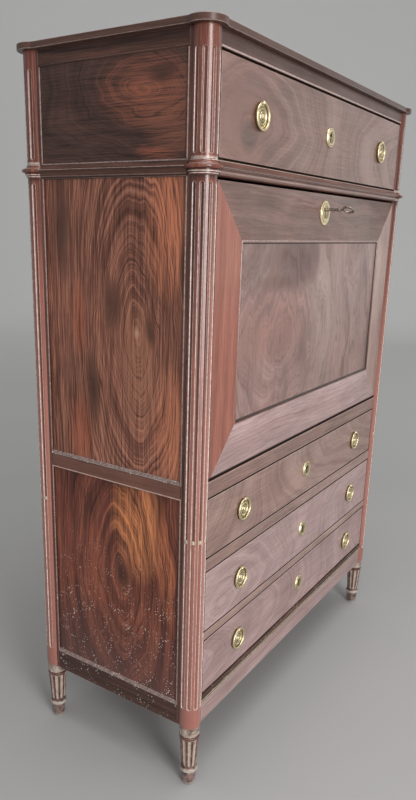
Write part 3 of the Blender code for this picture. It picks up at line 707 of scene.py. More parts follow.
FIELD = wood(
    "side_field_veneer", (26, 14, 11.5), (64, 32.5, 26.5), (115, 54, 42), bands=52.0,
    wander=0.15, taper=0.55, spread=0.07, mottle=0.20, polish=0.38, coat=0.05, shine=0.3,
    mixture=(0.24, 0.30, 0.46),
    glows=(
        (-10, -10, 70, 110, 300, 100, 60), (-110, -35, 16, 50, 360, 110, 65), (-70, -60, 40, 60, 220, 85, 55),
        (22, -45, 12, 35, 30, 19, 15),
    ),
)
OAK = wood(
    "oak_lining", (170, 95, 45), (320, 200, 105), (470, 320, 180), bands=95.0, wander=0.03,
    mottle=0.12, polish=0.55, coat=0.0, mixture=(0.35, 0.20, 0.45), rub=0.35,
)
BRASS = brass("lacquered_brass")
STEEL = steel("worn_steel")
LEATHER = leather("green_hide")
GILT = gilding("gold_leaf")
FOOT = worn_foot("worn_foot_wood")
CAP = pale_cap("pale_fruitwood")


# ---------------------------------------------------------------- top board
def build_top():
    """Thin board with rounded arrises, whose corners swell into ears over the columns."""
    ear = TOP_HIGH.x - AXIS_X
    side_angle = math.degrees(math.acos((SIDE_X + TOP_OVERHANG - AXIS_X) / ear))
    back_angle = math.degrees(math.acos((POST_IN + BACK_OVERHANG) / ear))
    outline = arc((AXIS_X, AXIS_FRONT), ear, -90 - side_angle, side_angle, 26)
    outline += arc((AXIS_X, AXIS_REAR), ear, -side_angle, 90 + back_angle, 24)
    outline += [(-x, y) for x, y in reversed(outline)]
    corners = [Vector((x, y, TOP_LOW.z)) for x, y in outline]
    mesh = prism(corners, Vector((0, 0, TOP_HIGH.z - TOP_LOW.z)), 0.0016)
    stand_in("top_board", "veneered", mesh, FRIEZE, "case", "YZX", 11, 0.2)


# ---------------------------------------------------------------- posts
PLAIN = -1.0                               # flute width share of a level without flutes
# Wear across half a flute, from its edge to its middle: the pale edge is rubbed wood and painted highlight, the
# dark hollow is dirt and painted shade.
HALF_FLUTE = [(1.0, 1.0), (0.94, 0.85), (0.80, 0.1), (0.58, -0.5), (0.30, -0.85), (0.0, -1.0)]
ACROSS_FLUTE = [(-across, wear) for across, wear in HALF_FLUTE] + HALF_FLUTE[-2::-1]


def flute_levels(low, high):
    """(radius, height, width share) levels of a flute with rounded ends, bottom to top."""
    turns = [math.radians(15 * step) for step in range(7)]
    end = [(FLUTE_HALF * (1 - math.cos(turn)), math.sin(turn)) for turn in turns]
    levels = [(low + up, share) for up, share in end] + [(high - up, share) for up, share in reversed(end)]
    levels = [(low - ARRIS_WIDE, PLAIN), *levels, (high + ARRIS_WIDE, PLAIN)]
    return [(COLUMN_R, height, share) for height, share in levels]


def column_levels():
    """(radius, height, flute width share) up the column, waist ring included."""
    r, ring, base = COLUMN_R, WAIST_HIGH.z, WAIST_LOW.z
    levels = mm(((-4, 0), (-1.2, 1), (-0.3, 2.8), (0, 5.5)), r, BODY_Z)
    levels += flute_levels(BODY_Z + 0.046, base - 0.009)
    steps = ((0, 0.2), (1.2, 1.6), (2.6, 3.2), (2.6, 5), (4.6, 5.6), (5, 7.8), (4.6, 9.4), (6.8, 10))
    levels += mm(steps, r, base)
    levels += arc((r + 0.0072, ring - 0.0113), 0.0033, -80, 85, 10)
    levels += [(r + 0.0060, ring - 0.0078)]
    levels += arc((r + 0.0072, ring - 0.0012), 0.0062, 270, 180, 7, 0.0064)[1:]
    levels += [(r - 0.0006, ring - 0.0008), (r, ring)]
    levels += flute_levels(ring + 0.007, TOP_LOW.z - 0.030)
    levels += [(r, TOP_LOW.z - CAD_GAP)]
    return [level if len(level) == 3 else (*level, PLAIN) for level in levels]


def land_spots(start, end, first):
    """(angle, depth, wear) across the plain wood between two flutes; the flutes carry its edges."""
    margin = ARRIS_WIDE / COLUMN_R
    inner_start, inner_end = start + margin, end - margin
    spots = [(start, 0.0, 0.0)] if first else []
    return spots + [(inner_start + (inner_end - inner_start) * step / 4, 0.0, 0.0) for step in range(5)]


def column_row(radius, share):
    """(angle, depth, wear) of one level of the column."""
    reach = math.radians(48) + math.acos(min(1.0, POST_IN / radius))
    width = FLUTE_HALF / COLUMN_R * max(share, 0.02)
    spots = []
    start = -reach
    for flute in FLUTE_ANGLES:
        spots += land_spots(start, flute - width, not spots)
        for across, wear in ACROSS_FLUTE:
            deep = FLUTE_DEEP * max(share, 0.0) * math.sqrt(1 - across * across)
            mark = 0.0 if share == PLAIN else wear * share + (1.0 - share)
            spots.append((flute + across * width, deep, mark))
        start = flute + width
    return spots + land_spots(start, reach, False) + [(reach, 0.0, 0.0)]


def round_spot(out, angle, height=0.0):
    """Point at a distance and an angle from an upright axis."""
    return Vector((out * math.cos(angle), out * math.sin(angle), height))


def column_mesh(centre, facing):
    """Engaged column: the part of the turning that stands out of the post, with hollow flutes."""
    bm = bmesh.new()
    rows = []
    wear = []
    for radius, height, share in column_levels():
        row = []
        # The marks weaken towards the top of the column, so its painted highlights and painted shade are fainter
        # there.
        kept = min(1.0, 0.42 + 0.58 * (TOP_LOW.z - height) / 0.40)
        for angle, deep, mark in column_row(radius, share):
            row.append(bm.verts.new(centre + round_spot(radius - deep, facing + angle, height)))
            wear.append(mark * kept)
        rows.append(row)
    skin(bm, rows, ring=False)
    bm.faces.new(rows[0][::-1])
    fluted = finished(bm, 32)
    return set_wear_and_painted_light(fluted, [own or found for own, found in zip(wear, sharp_marks(fluted))])


def in_flutes(profile, centre, facing, sunk):
    """A turning in each flute, with its axis sunk below the column's surface."""
    spots = [centre + round_spot(COLUMN_R - sunk, facing + flute) for flute in FLUTE_ANGLES]
    return joined([turned(profile, spot, segments=20) for spot in spots])


def build_posts():
    """Square blocks with engaged columns, whose lower flutes are filled with capped rods."""
    rod = 0.0042
    rod_low = BODY_Z + 0.0468
    rods = arc((0, rod_low + rod), rod, 270, 360, 5) + [(rod, CABLE_TOP), (0, CABLE_TOP)]
    cap = mm(((0, 0), (3.5, 0), (3.5, 1.4), (3.1, 2)), 0, CABLE_TOP)
    cap += arc((-0.0004, CABLE_TOP + 0.0026), 0.0035, 0, 72, 4, 0.0036) + [(0, CABLE_TOP + 0.0062)]
    for side, side_name in SIDES:
        for end, axis_y, outward in (("front", AXIS_FRONT, -1), ("rear", AXIS_REAR, 1)):
            node = f"post_{end}_{side_name}"
            centre = Vector((side * AXIS_X, axis_y, 0))
            facing = math.atan2(outward, side)
            seed = f"{end}{side_name}"
            stand_in(node, "column", column_mesh(centre, facing), COLUMN, "case", "XYZ", seed)
            inner, outer = sorted((side * INNER_X, side * SIDE_X))
            edge = FRONT if outward < 0 else BACK
            near, far = sorted((edge, edge - outward * POST_DEEP))
            block = board((inner, near, BODY_Z + 0.0004), (outer, far, TOP_LOW.z - 0.0006), 0.0005)
            stand_in(node, "block", block, MAHOGANY, "case", "XYZ", seed, 0.2)
            cables = set_wear_and_painted_light(in_flutes(rods, centre, facing, 0.0046), -0.25)
            add_piece(f"{node}_cables", lay_grain(cables, "XYZ", seed + "cable", -0.8), COLUMN, "case")
            add_piece(f"{node}_cable_caps", in_flutes(cap, centre, facing, 0.0022), CAP, "case")


# ---------------------------------------------------------------- feet
FOOT_FLUTES = 10
FOOT_FLUTE_Z = (0.0470, 0.1110)
FOOT_FLUTE_END = 0.0028                    # height of a flute's rounded end
RIB_WEAR = 0.14                            # of the narrow ribs; the flutes between them are rubbed pale
FOOT_BASE = (                              # (radius, height, wear) from toe to ring, in millimetres
    (0.1, 0, 0.9), (8.5, 0, 0.9), (10.8, 0.8, 1.0), (12.2, 4, 0.9), (13.4, 10, 0.35), (14.3, 19, 0.25),
    (14.6, 26.2, 0.25), (15.2, 27.6, 0.6), (15.2, 29.2, 0.5), (14.1, 30, 0),
)
FOOT_NECK = ((14, 43, 0), (14, 44.4, 0.1), (14.8, 45.8, 0.7))
FOOT_COLLAR = (
    (18.6, 117.5, -0.2), (18.6, 118.1, -0.2), (19.8, 119, 0.9), (20.6, 123, 0.9), (20.6, 130, 0.75),
    (19.9, 134, 0.8),
)


def foot_levels():
    """(radius, height, wear, flute share) up the foot."""
    low, high = FOOT_FLUTE_Z
    end = [math.radians(18 * step) for step in range(6)]
    levels = mm(FOOT_BASE)
    for radius, height in arc((0.0141, 0.0366), 0.0045, -75, 75, 10, 0.0058):
        levels.append((radius, height, (radius - 0.0141) / 0.0045))
    levels += mm(FOOT_NECK)
    levels += [(0.0150, low + FOOT_FLUTE_END * (1 - math.cos(turn)), 0.8, math.sin(turn)) for turn in end]
    for share in [step / 8 for step in range(1, 8)]:
        levels.append((0.0150 + 0.0046 * share, low + (high - low) * share, 0.8, 1.0))
    levels += [(0.0196, high - FOOT_FLUTE_END * (1 - math.sin(turn)), 0.8, math.cos(turn)) for turn in end]
    levels += [(0.0196, 0.1124, 0.3), (0.0186, 0.1130, 0.2)]
    levels += marked(arc((0.0190, 0.1152), 0.0020, -67.5, 67.5, 6), 0.25)
    top = BODY_Z - CAD_GAP
    levels += mm(FOOT_COLLAR) + [(0.0199, top, 0.6), (0.0001, top, 0.0)]
    return [level if len(level) == 4 else (*level, 0.0) for level in levels]


def foot_mesh(centre):
    """Turned foot with flutes up its taper; the ribs between them carry the wear."""
    bm = bmesh.new()
    rows = []
    wear = []
    for radius, height, worn, share in foot_levels():
        row = []
        width = math.pi / FOOT_FLUTES * 0.70 * (0.05 + 0.95 * share)
        for flute in range(FOOT_FLUTES):
            middle = 2 * math.pi * flute / FOOT_FLUTES
            for offset in (-1.0, -0.9, -0.6, -0.3, 0.0, 0.3, 0.6, 0.9, 1.0):
                deep = 0.0019 * share * math.sqrt(1 - offset * offset)
                row.append(bm.verts.new(centre + round_spot(radius - deep, middle + offset * width, height)))
                rubbed = RIB_WEAR + (1.0 - RIB_WEAR) * min(1.0, deep / 0.0014)
                wear.append(worn * (1.0 - share) + rubbed * share)
        rows.append(row)
    skin(bm, rows)
    bm.faces.new(rows[0][::-1])
    bm.faces.new(rows[-1])
    return set_wear_and_painted_light(finished(bm, 40), wear)


def build_feet():
    for end in ("front_left", "rear_left", "front_right", "rear_right"):
        rest = MOUNTS[f"floor_rest_{end}"]
        mesh = foot_mesh(Vector((rest.x, rest.y, 0)))
        add_piece(f"foot_{end}_turned", mesh, FOOT, "case", f"foot_{end}")


# ---------------------------------------------------------------- mouldings
def waist_profile():
    """(out, up, wear) outline of the moulding at the waist, closed at the back. Its marks are pale on the rounds
    and dark in the creases: wear, painted highlight and painted shade.
    """
    low, high = WAIST_LOW.z, WAIST_HIGH.z
    arris = low + (high - low) * 0.585
    cove = ARRIS - 0.0026
    drop = high - 0.0024 - arris
    points = mm(((-2, 0, 0), (0.6, 0, 0.6)), 0, high)
    points += marked(arc((0.0006, high - 0.0011), 0.0011, 80, -60, 5), 0.75)
    points += [(0.0022, high - 0.0024, -0.7)]
    points += marked(arc((0.0022 + cove, high - 0.0024), cove, 180, 270, 7, drop)[1:], 0.1)
    steps = ((0, -0.1, 0.9), (0, -1.2, 0.6), (-1.6, -1.7, -0.9), (-1.6, -2.8, 0.5), (-2.8, -3.2, -0.8))
    points += mm(steps, ARRIS, arris)
    points += marked(arc((ARRIS - 0.0028, arris - 0.0082), 0.0030, 90, 180, 5, 0.0050)[1:], -0.1)
    steps = ((4.7, 4.8, -0.5), (3.6, 4, 0.5), (3.6, 2.2, 0.3), (1, 1.4, -0.6), (0, 0, 0.3), (-2, 0, 0))
    return points + mm(steps, 0, low)


def reeded_slope(deep, tall, base):
    """(out, up, wear) outline of three reeds on a slope from the rail's face back to the panel. The reeds' pale
    crests are painted highlight, and the crease at the top is painted shade.
    """
    points = []
    for reed in range(3):
        for step in range(6):
            share = (reed + step / 6) / 3
            crest = math.sin(math.pi * step / 6)
            out, up = -deep * share + 0.0007 * crest, tall * share + 0.0004 * crest
            points.append((out, base + up, 0.3 + 0.7 * crest))
    behind = -deep - 0.001
    points += [(-deep, base + tall, -1), (behind, base + tall, -1)]
    return points + [(behind, base - 0.001, 0), (0.0, base - 0.001, 0)]


# ---------------------------------------------------------------- sides
def build_side(side, side_name):
    node = f"side_frame_{side_name}"
    low_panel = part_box(f"side_panel_lower_{side_name}")
    main_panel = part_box(f"side_panel_main_{side_name}")
    near, far = FRONT + POST_DEEP + CAD_GAP, BACK - POST_DEEP - CAD_GAP
    face, inner = side * SIDE_X, side * INNER_X
    panel_face = max(abs(main_panel[0].x), abs(main_panel[1].x))
    field_top = FRIEZE_Z - 0.0022

    def rail(name, low_z, high_z, tint=0.0, out=0.0, material=SIDE_RAIL, origin=None):
        x = sorted((inner, face + side * out))
        mesh = board((x[0], near, low_z), (x[1], far, high_z))
        stand_in(node, name, mesh, material, "case", "ZXY", name + side_name, tint, origin)

    swirl = (WAIST_HIGH.z + 0.118, side * (SIDE_X - 0.020), near + 0.095)
    rail("bottom_rail", BODY_Z, low_panel[0].z - CAD_GAP)
    rail("middle_rail", low_panel[1].z + CAD_GAP, main_panel[0].z - CAD_GAP, 2.2, material=MAHOGANY)
    rail("waist_rail", main_panel[1].z + CAD_GAP, WAIST_HIGH.z, 0.3)
    rail("upper_field", WAIST_HIGH.z, field_top, 0.0, -0.0012, FIELD, swirl)
    rail("top_rail", FRIEZE_Z, TOP_LOW.z - CAD_GAP, -0.2)

    def out_along(out, y, z):
        return Vector((side * (SIDE_X + out), y, z))

    def moulding(name, outline, seed, tint, *stands_for, material=SIDE_RAIL, trim=0.0):
        mesh = lay_grain(run_profile(outline, out_along, near + trim, far - trim), "ZXY", seed, tint)
        add_piece(f"{node}_{name}", mesh, material, "case", *stands_for)

    moulding("waist_moulding", waist_profile(), "waist" + side_name, 0.6, node)
    for window, base in (("lower", low_panel[0].z), ("main", main_panel[0].z)):
        slope = reeded_slope(SIDE_X - panel_face, 0.0070, base)
        moulding(f"{window}_reeding", slope, window + side_name, 0.6, trim=0.0016)
    arris_z = low_panel[1].z
    fillet = arc((-0.001, arris_z + 0.0004), 0.0016, -90, 60, 6) + mm(((-2, 1.8), (-2, -1.2)), 0, arris_z)
    moulding("middle_arris", fillet, "arris" + side_name, 2.2, material=STILE)
    bead = arc((0.0, FRIEZE_Z - 0.0011), 0.0013, -90, 90, 8) + mm(((-2, 0.2), (-2, -2.4)), 0, FRIEZE_Z)
    moulding("frieze_bead", marked(bead, -0.1), "frieze", 0.2)

    strips = []
    beads = []
    windows = (
        (low_panel[0].z, low_panel[1].z), (main_panel[0].z, main_panel[1].z), (WAIST_HIGH.z, field_top),
    )
    for edge, inward in ((near, 1), (far, -1)):
        y = sorted((edge, edge + inward * 0.0019))
        x = sorted((inner, face))
        strips.append(board((x[0], y[0], BODY_Z + 0.0002), (x[1], y[1], TOP_LOW.z - 0.0006), 0.0003))
        for low_z, high_z in windows:
            centre = Vector((side * (SIDE_X - 0.0002), edge + inward * 0.0013, 0))
            profile = mm(((0, 0), (1, 0.6), (1.3, 1.4)), 0, low_z)
            profile += mm(((1.3, -1.4), (1, -0.6), (0, 0)), 0, high_z)
            beads.append(turned(profile, centre, segments=16))
    stand_in(node, "stiles", joined(strips), MAHOGANY, "case", "YXZ", "strip" + side_name, -0.5)
    # The beads are marked pale all over: painted highlight along the panels' edges.
    mesh = lay_grain(mark_wear_and_painted_light(joined(beads), 0.6), "YXZ", "bead" + side_name, 2.0)
    add_piece(f"{node}_beads", mesh, SIDE_RAIL, "case")

    for window, box, material, forward, upward in (
        ("main", main_panel, SIDE_MAIN, 0.34, 0.50), ("lower", low_panel, SIDE_LOWER, 0.47, 0.56),
    ):
        low, high = box
        heart_y = low.y + (high.y - low.y) * forward
        heart_z = low.z + (high.z - low.z) * upward
        heart = (heart_y, side * (panel_face - 0.02), heart_z)
        mesh = board(low, high, 0.0006)
        stand_in(f"side_panel_{window}_{side_name}", "veneer", mesh, material, "case", "YXZ", 0, 0.0, heart)


# ---------------------------------------------------------------- front rails
def build_front_rails():
    half = INNER_X - CAD_GAP

    def moulding(name, outline, seed, tint, material):
        mesh = lay_grain(run_profile(outline, out_across, -half, half), "ZYX", seed, tint)
        add_piece(name, mesh, material, "case")

    for node, tint, material in (
        ("desk_board", -0.2, DRAWER), ("drawer_rail_upper", 0.4, DRAWER), ("drawer_rail_lower", 0.9, DRAWER),
        ("apron_board", -0.3, PALE),
    ):
        stand_in(node, "veneered", gap_shade(refined(node, 0.0009)), material, "case", "ZYX", node, tint)
    mesh = board(*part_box("frieze_rail"), 0.0006)
    stand_in("frieze_rail", "veneered", mesh, FRIEZE, "case", "ZYX", "frieze", 0.1)
    bead = arc((0.0, FRIEZE_Z + 0.0017), 0.0017, -90, 90, 8) + mm(((-1, 3.4), (-1, 0)), 0, FRIEZE_Z)
    moulding("frieze_rail_bead", bead, "frieze bead", 0.4, DRAWER)
    carcass = gap_shade(refined("waist_rail", 0.0004))
    stand_in("waist_rail", "carcass", carcass, MAHOGANY, "case", "ZYX", "waist", 0.3)
    moulding("waist_rail_moulding", waist_profile(), "waist", 0.6, DRAWER)
    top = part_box("lower_drawer_front")[0].z - 0.0007
    base = BODY_Z + 0.0455
    steps = ((-1, 0), (1, 0), (1.6, 0.8), (1, 1.8), (0.2, 2.2), (0.2, 6), (2, 7), (2.4, 8.4), (1.2, 10))
    outline = mm(steps, 0, base) + [(0.0012, top), (-0.001, top)]
    moulding("apron_board_moulding", marked(outline, -0.2), "apron", 0.4, SIDE_RAIL)
    lines = []
    for middle in (base - 0.0004, base + 0.0034):
        line = mm(((-1, -0.8), (1.4, -0.8), (2, 0), (1.4, 0.8), (-1, 0.8)), 0, middle)
        lines.append(run_profile(line, out_across, -half, half))
    add_piece("apron_board_strings", joined(lines), CAP, "case")


# ---------------------------------------------------------------- drawers
KEYHOLE = (0.0048, 0.0040, -0.0102)        # radius of the hole, its rise, bottom of the slot
LOCK_RECESS = (0.0100, 0.0125, 0.0120)     # half width, half height and depth behind a keyhole plate
FRONT_GAP = Vector((0.0018, 0, 0.0027))    # wood taken off a drawer front beside and above its neighbours
DRAWER_LOOKS = {                           # material, tint, and the heart of the figure above and across
    "top": (SWIRL, -0.1, -0.02, -0.33), "upper": (DRAWER, 0.9, 0.05, -0.62),
    "middle": (PALE, 0.6, -0.03, -0.36), "lower": (PALE, -0.5, 0.02, 0.55),
}


def lock_recess(centre):
    """Cutter for the lock's recess, which the keyhole plate covers. Its walls are marked -1: painted shade inside
    the recess.
    """
    wide, tall, deep = LOCK_RECESS
    spots = ((-wide, -tall), (wide, -tall), (wide, tall), (-wide, tall))
    corners = [centre + Vector((x, -deep, z)) for x, z in spots]
    return set_wear_and_painted_light(prism(corners, Vector((0, 2 * deep, 0))), -1.0)


def keyhole(centre, hole_r, rise, slot_low):
    """Cutter with a keyhole's outline: a round hole over a slot that widens downwards. Its walls are marked -1:
    painted shade inside the keyhole.
    """
    outline = arc((centre.x, centre.z + rise), hole_r, -60, 240, 20)
    wide = hole_r * 0.66
    outline += [(centre.x - wide, centre.z + slot_low), (centre.x + wide, centre.z + slot_low)]
    corners = [Vector((x, centre.y - 0.02, z)) for x, z in outline]
    return set_wear_and_painted_light(prism(corners, Vector((0, 0.03, 0))), -1.0)


def build_drawer(name):
    body = f"{name}_drawer"
    low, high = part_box(f"{body}_front")
    middle = Vector((0, FRONT, (low.z + high.z) / 2))
    front = with_hole(gap_shade(board(low + FRONT_GAP, high - FRONT_GAP, 0.0010)), lock_recess(middle))
    material, tint, above, across = DRAWER_LOOKS[name]
    heart = (middle.z + above, FRONT - 0.02, across)
    stand_in(f"{body}_front", "veneered", front, material, body, "ZYX", 0, tint, heart)
    build_drawer_box(body, high)
    build_escutcheon(f"{body}_escutcheon", middle, *KEYHOLE, body, 0)
    for _, side_name in SIDES:
        build_handle(name, side_name, body)


def build_drawer_box(body, front_high):
    """Oak sides with dovetails, a back and a bottom board."""
    node = f"{body}_box"
    low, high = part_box(node)
    stand_in(node, "oak", refined(node, 0.0007), OAK, body, "ZXY", node)
    tails = []
    count = 3 if high.z - low.z > 0.11 else 2
    pitch = (high.z - low.z) / count
    root, tip = front_high.y + 0.0002, front_high.y - 0.014
    for side in (-1, 1):
        x = side * (front_high.x - 0.0006)
        for index in range(count):
            z = low.z + pitch * (index + 0.5)
            wide, narrow = pitch * 0.36, pitch * 0.24
            spots = ((root, z - narrow), (tip, z - wide), (tip, z + wide), (root, z + narrow))
            corners = [Vector((x, y, height)) for y, height in spots]
            tails.append(prism(corners, Vector((side * 0.0008, 0, 0)), 0.0001))
    add_piece(f"{node}_dovetails", lay_grain(joined(tails), "ZXY", node, 0.5), OAK, body)


# ---------------------------------------------------------------- brass
PLATE_STEPS = (                            # (share of the radius, height in millimetres) of a keyhole plate
    (0, 1.9), (0.30, 2.0), (0.52, 2.2), (0.60, 2.6), (0.64, 3.4), (0.70, 3.7), (0.76, 3.4), (0.79, 2.6),
    (0.82, 2.6), (0.86, 3.1), (0.92, 3.0), (0.97, 2.2), (1, 1.0), (1, 0.3), (0, 0.3),
)
PULL_STEPS = (                             # (radius, height) of a ring pull's plate from its boss to its rim
    (0, 7.6), (1.6, 7.5), (3.2, 7), (4.3, 6), (4.6, 4.6), (5.2, 3.8), (6, 3.6), (6.6, 4.2), (7.4, 4.4),
    (8, 4), (8.4, 3.2), (10.4, 3), (11.2, 3.4), (12, 4.6), (13, 5), (14, 4.6), (14.6, 3.4), (15, 2.7),
    (16.4, 2.5), (17.4, 2.7), (18.4, 2.4), (19.2, 1.9),
)
EDGE_BEAD = mm(((0, 0.3), (1.2, 0.3), (1.4, 1), (1.1, 1.8), (0.6, 2.2), (0, 2.3)))
KNUCKLE = mm(((0, -3.4), (2.4, -3.4), (3, -2.8), (3, 2.8), (2.4, 3.4), (0, 3.4)))
RING_END = mm(((0, -2.2), (1.4, -1.7), (2.1, -0.6), (2.1, 0.6), (1.4, 1.7), (0, 2.2)))


def build_escutcheon(node, centre, hole_r, rise, slot_low, body, beads):
    """Round keyhole plate with a raised rim; the fall's has a beaded edge."""
    low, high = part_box(node)
    r = (high.x - low.x) / 2 - (0.0012 if beads else 0.0)
    profile = [(r * share, height / 1000) for share, height in PLATE_STEPS]
    plate = turned(profile, centre, OUTWARD, 64)
    marks = []
    for vertex, mark in zip(plate.vertices, sharp_marks(plate)):
        marks.append(-0.5 if (vertex.co - centre).xz.length < r * 0.58 else mark)
    plate = with_hole(set_wear_and_painted_light(plate, marks), keyhole(centre, hole_r, rise, slot_low), 35)
    if beads:
        parts = [plate]
        for index in range(beads):
            angle = 2 * math.pi * index / beads
            spot = centre + Vector((r * math.cos(angle), 0, r * math.sin(angle)))
            parts.append(turned(EDGE_BEAD, spot, OUTWARD, 10, 60))
        plate = joined(parts)
    add_piece(f"{node}_turned", plate, BRASS, body, node)


def build_handle(name, side_name, body):
    """Stepped backplate with a boss and a knuckle, and the ring that swings in the knuckle."""
    plate_node = f"{name}_handle_plate_{side_name}"
    ring_node = f"{name}_handle_ring_{side_name}"
    hinge = Vector(JOINTS[f"{name}_ring_{side_name}_hinge"]["pos_m"])
    ring_low, ring_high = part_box(ring_node)
    tube = (ring_high.y - ring_low.y) / 2
    ring_r = (ring_high.x - ring_low.x) / 2 - tube
    centre = Vector((hinge.x, FRONT, ring_low.z + tube + ring_r))
    r = ring_r + 0.0012
    profile = mm(PULL_STEPS) + mm(((-0.8, 1.9), (-0.2, 1.5), (0, 0.8), (0, 0.3)), r) + [(0, 0.0003)]
    disc = turned(profile, centre, OUTWARD, 64)
    # The plate's rim and the band under the ring are marked dark: painted shadow of the ring, which stands off the
    # plate.
    marks = []
    for vertex, mark in zip(disc.vertices, sharp_marks(disc)):
        away = (vertex.co - centre).xz.length
        marks.append(-1.0 if away > r - 0.0010 else -0.5 if away > 0.0190 else mark)
    knuckle = mark_wear_and_painted_light(turned(KNUCKLE, hinge, RIGHT, 24))
    neck_low = (hinge.x - 0.0026, hinge.y, hinge.z - 0.0040)
    neck = mark_wear_and_painted_light(board(neck_low, (hinge.x + 0.0026, FRONT - 0.0004, hinge.z + 0.0022), 0.0006))
    add_piece(f"{plate_node}_turned", joined([set_wear_and_painted_light(disc, marks), knuckle, neck]), BRASS, body, plate_node)
    gap = math.degrees(math.asin(0.0044 / ring_r))
    spots = arc((centre.x, centre.z), ring_r, 90 + gap, 450 - gap, 56)
    path = [Vector((x, hinge.y, z)) for x, z in spots]
    ring = [swept(path, lambda share: tube * (0.86 + 0.14 * math.sin(math.pi * share)), 14)]
    for end in (path[0], path[-1]):
        ring.append(turned(RING_END, end, RIGHT, 16, 60))
    add_piece(f"{ring_node}_bar", joined(ring), BRASS, f"{name}_ring_{side_name}", ring_node)


# ---------------------------------------------------------------- the fall
def frame_piece(cuts):
    """The fall's frame, kept on the inner side of each (point, outward normal) plane."""
    bm = node_shape("fall_frame")
    for point, normal in cuts:
        made = split_by(bm, point, normal, clear_outer=True, clear_inner=False)
        edges = [item for item in made["geom_cut"] if isinstance(item, bmesh.types.BMEdge)]
        bmesh.ops.edgenet_fill(bm, edges=edges)
    return finished(bevelled(bm, 0.00045, 50), FLAT_ANGLE)


def build_fall_frame(inner):
    """The four mitred pieces round the window, whose low and high corners are given."""
    outer = (FALL_LOW, FALL_HIGH)
    middle = (inner[0] + inner[1]) / 2

    def mitre(x_end, z_end, sign):
        """A mitre's corner and the normal of the side cut away, which is the upper one where sign is 1."""
        corner = Vector((outer[x_end].x, 0, outer[z_end].z))
        normal = Vector((corner.z - inner[z_end].z, 0, inner[x_end].x - corner.x)).normalized()
        return corner, normal * (sign if normal.z > 0 else -sign)

    # The stiles are one wood: the left keeps the plain red, the right takes the drawer veneer, whose greyer colour
    # is painted sheen.
    pieces = {
        "top": ([mitre(0, 1, -1), mitre(1, 1, -1), (middle, -UP)], "ZYX", -1.0, SWIRL),
        "bottom": ([mitre(0, 0, 1), mitre(1, 0, 1), (middle, UP)], "ZYX", 0.4, PALE),
        "left": ([mitre(0, 1, 1), mitre(0, 0, -1), (middle, RIGHT)], "XYZ", 0.0, STILE),
        "right": ([mitre(1, 1, 1), mitre(1, 0, -1), (middle, -RIGHT)], "XYZ", 1.2, DRAWER),
    }
    for name, (cuts, axes, tint, material) in pieces.items():
        mesh = gap_shade(frame_piece(cuts))
        stand_in("fall_frame", name, mesh, material, "fall", axes, f"fall {name}", tint)


def build_leather():
    """Hide on the inside of the fall, with three tooled lines and a flower in each corner."""
    low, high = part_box("fall_leather")
    add_piece("fall_leather_hide", board(low, high, 0.0004), LEATHER, "fall", "fall_leather")
    lines = []
    for start, wide in ((12, 1.6), (15.8, 0.6), (30, 0.8)):
        flat = mm(((start, -0.2), (start, 0.12), (start + wide, 0.12), (start + wide, -0.2)))
        lines.append(window_moulding(flat, low, high, lambda out, x, z: Vector((x, high.y + out, z))))
    petals = ((5.2, 0), (1.2, 1.2), (0, 5.2), (-1.2, 1.2), (-5.2, 0), (-1.2, -1.2), (0, -5.2), (1.2, -1.2))
    for x_side in (-1, 1):
        for corner_z in (low.z + 0.0227, high.z - 0.0227):
            spot = Vector((x_side * (high.x - 0.0227), high.y - 0.0002, corner_z))
            lines.append(prism([spot + Vector((x, 0, z)) for x, z in mm(petals)], Vector((0, 0.00032, 0))))
    add_piece("fall_leather_tooling", joined(lines), GILT, "fall")


def build_fall():
    slack = Vector((CAD_GAP, 0, CAD_GAP))
    inner = (PANEL_LOW - slack, PANEL_HIGH + slack)
    build_fall_frame(inner)
    panel = board(PANEL_LOW, PANEL_HIGH, 0.0005)
    stand_in("fall_panel", "veneer", panel, PANEL, "fall", "XYZ", 0, 0.0, (-0.19, FRONT - 0.015, 0.87))
    recess = PANEL_LOW.y - FRONT
    steps = (
        (-0.3, 0.2), (0.4, 0.9), (1.3, 1.1), (2.2, 0.6), (2.6, -0.3), (3, -0.9), (4, -1.1), (4.8, -1.6),
        (5.6, -2.6),
    )
    profile = [(-0.0003, -recess), *mm(steps), (0.0060, -recess)]
    mesh = window_moulding(profile, *inner, out_across)
    # The top run of the moulding is marked pale: painted highlight on the slope that faces up.
    marks = []
    for vertex, mark in zip(mesh.vertices, sharp_marks(mesh)):
        marks.append(0.9 if vertex.co.z > inner[1].z - 0.0032 else min(0.3, mark))
    lay_grain(set_wear_and_painted_light(mesh, marks), "XYZ", "moulding", 0.8)
    add_piece("fall_panel_moulding", mesh, MAHOGANY, "fall")
    build_leather()
    bore = Vector(JOINTS["key_turn"]["pos_m"])
    plate_low, plate_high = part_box("fall_escutcheon")
    centre = Vector((0, FRONT, (plate_low.z + plate_high.z) / 2))
    build_escutcheon("fall_escutcheon", centre, 0.0040, bore.z - centre.z, -0.0105, "fall", 44)
    for side, side_name in SIDES:
        node = f"fall_stay_{side_name}"
        parts = [refined(node, 0.0005)]
        for below in (0.056, 0.014):
            head = Vector((side * 0.4120, FALL_HIGH.y + 0.0030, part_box(node)[1].z - below))
            screw = mm(((0, 0.4), (1.6, 0.3), (1.8, 0), (1.8, -1), (0, -1)))
            parts.append(turned(screw, head, -OUTWARD, 16))
        add_piece(f"{node}_iron", joined(parts), BRASS, "fall", node)
    bolt = refined("fall_lock_bolt", 0.0007)
    add_piece("fall_lock_bolt_tongue", bolt, BRASS, "lock_bolt", "fall_lock_bolt")
    build_key(bore)


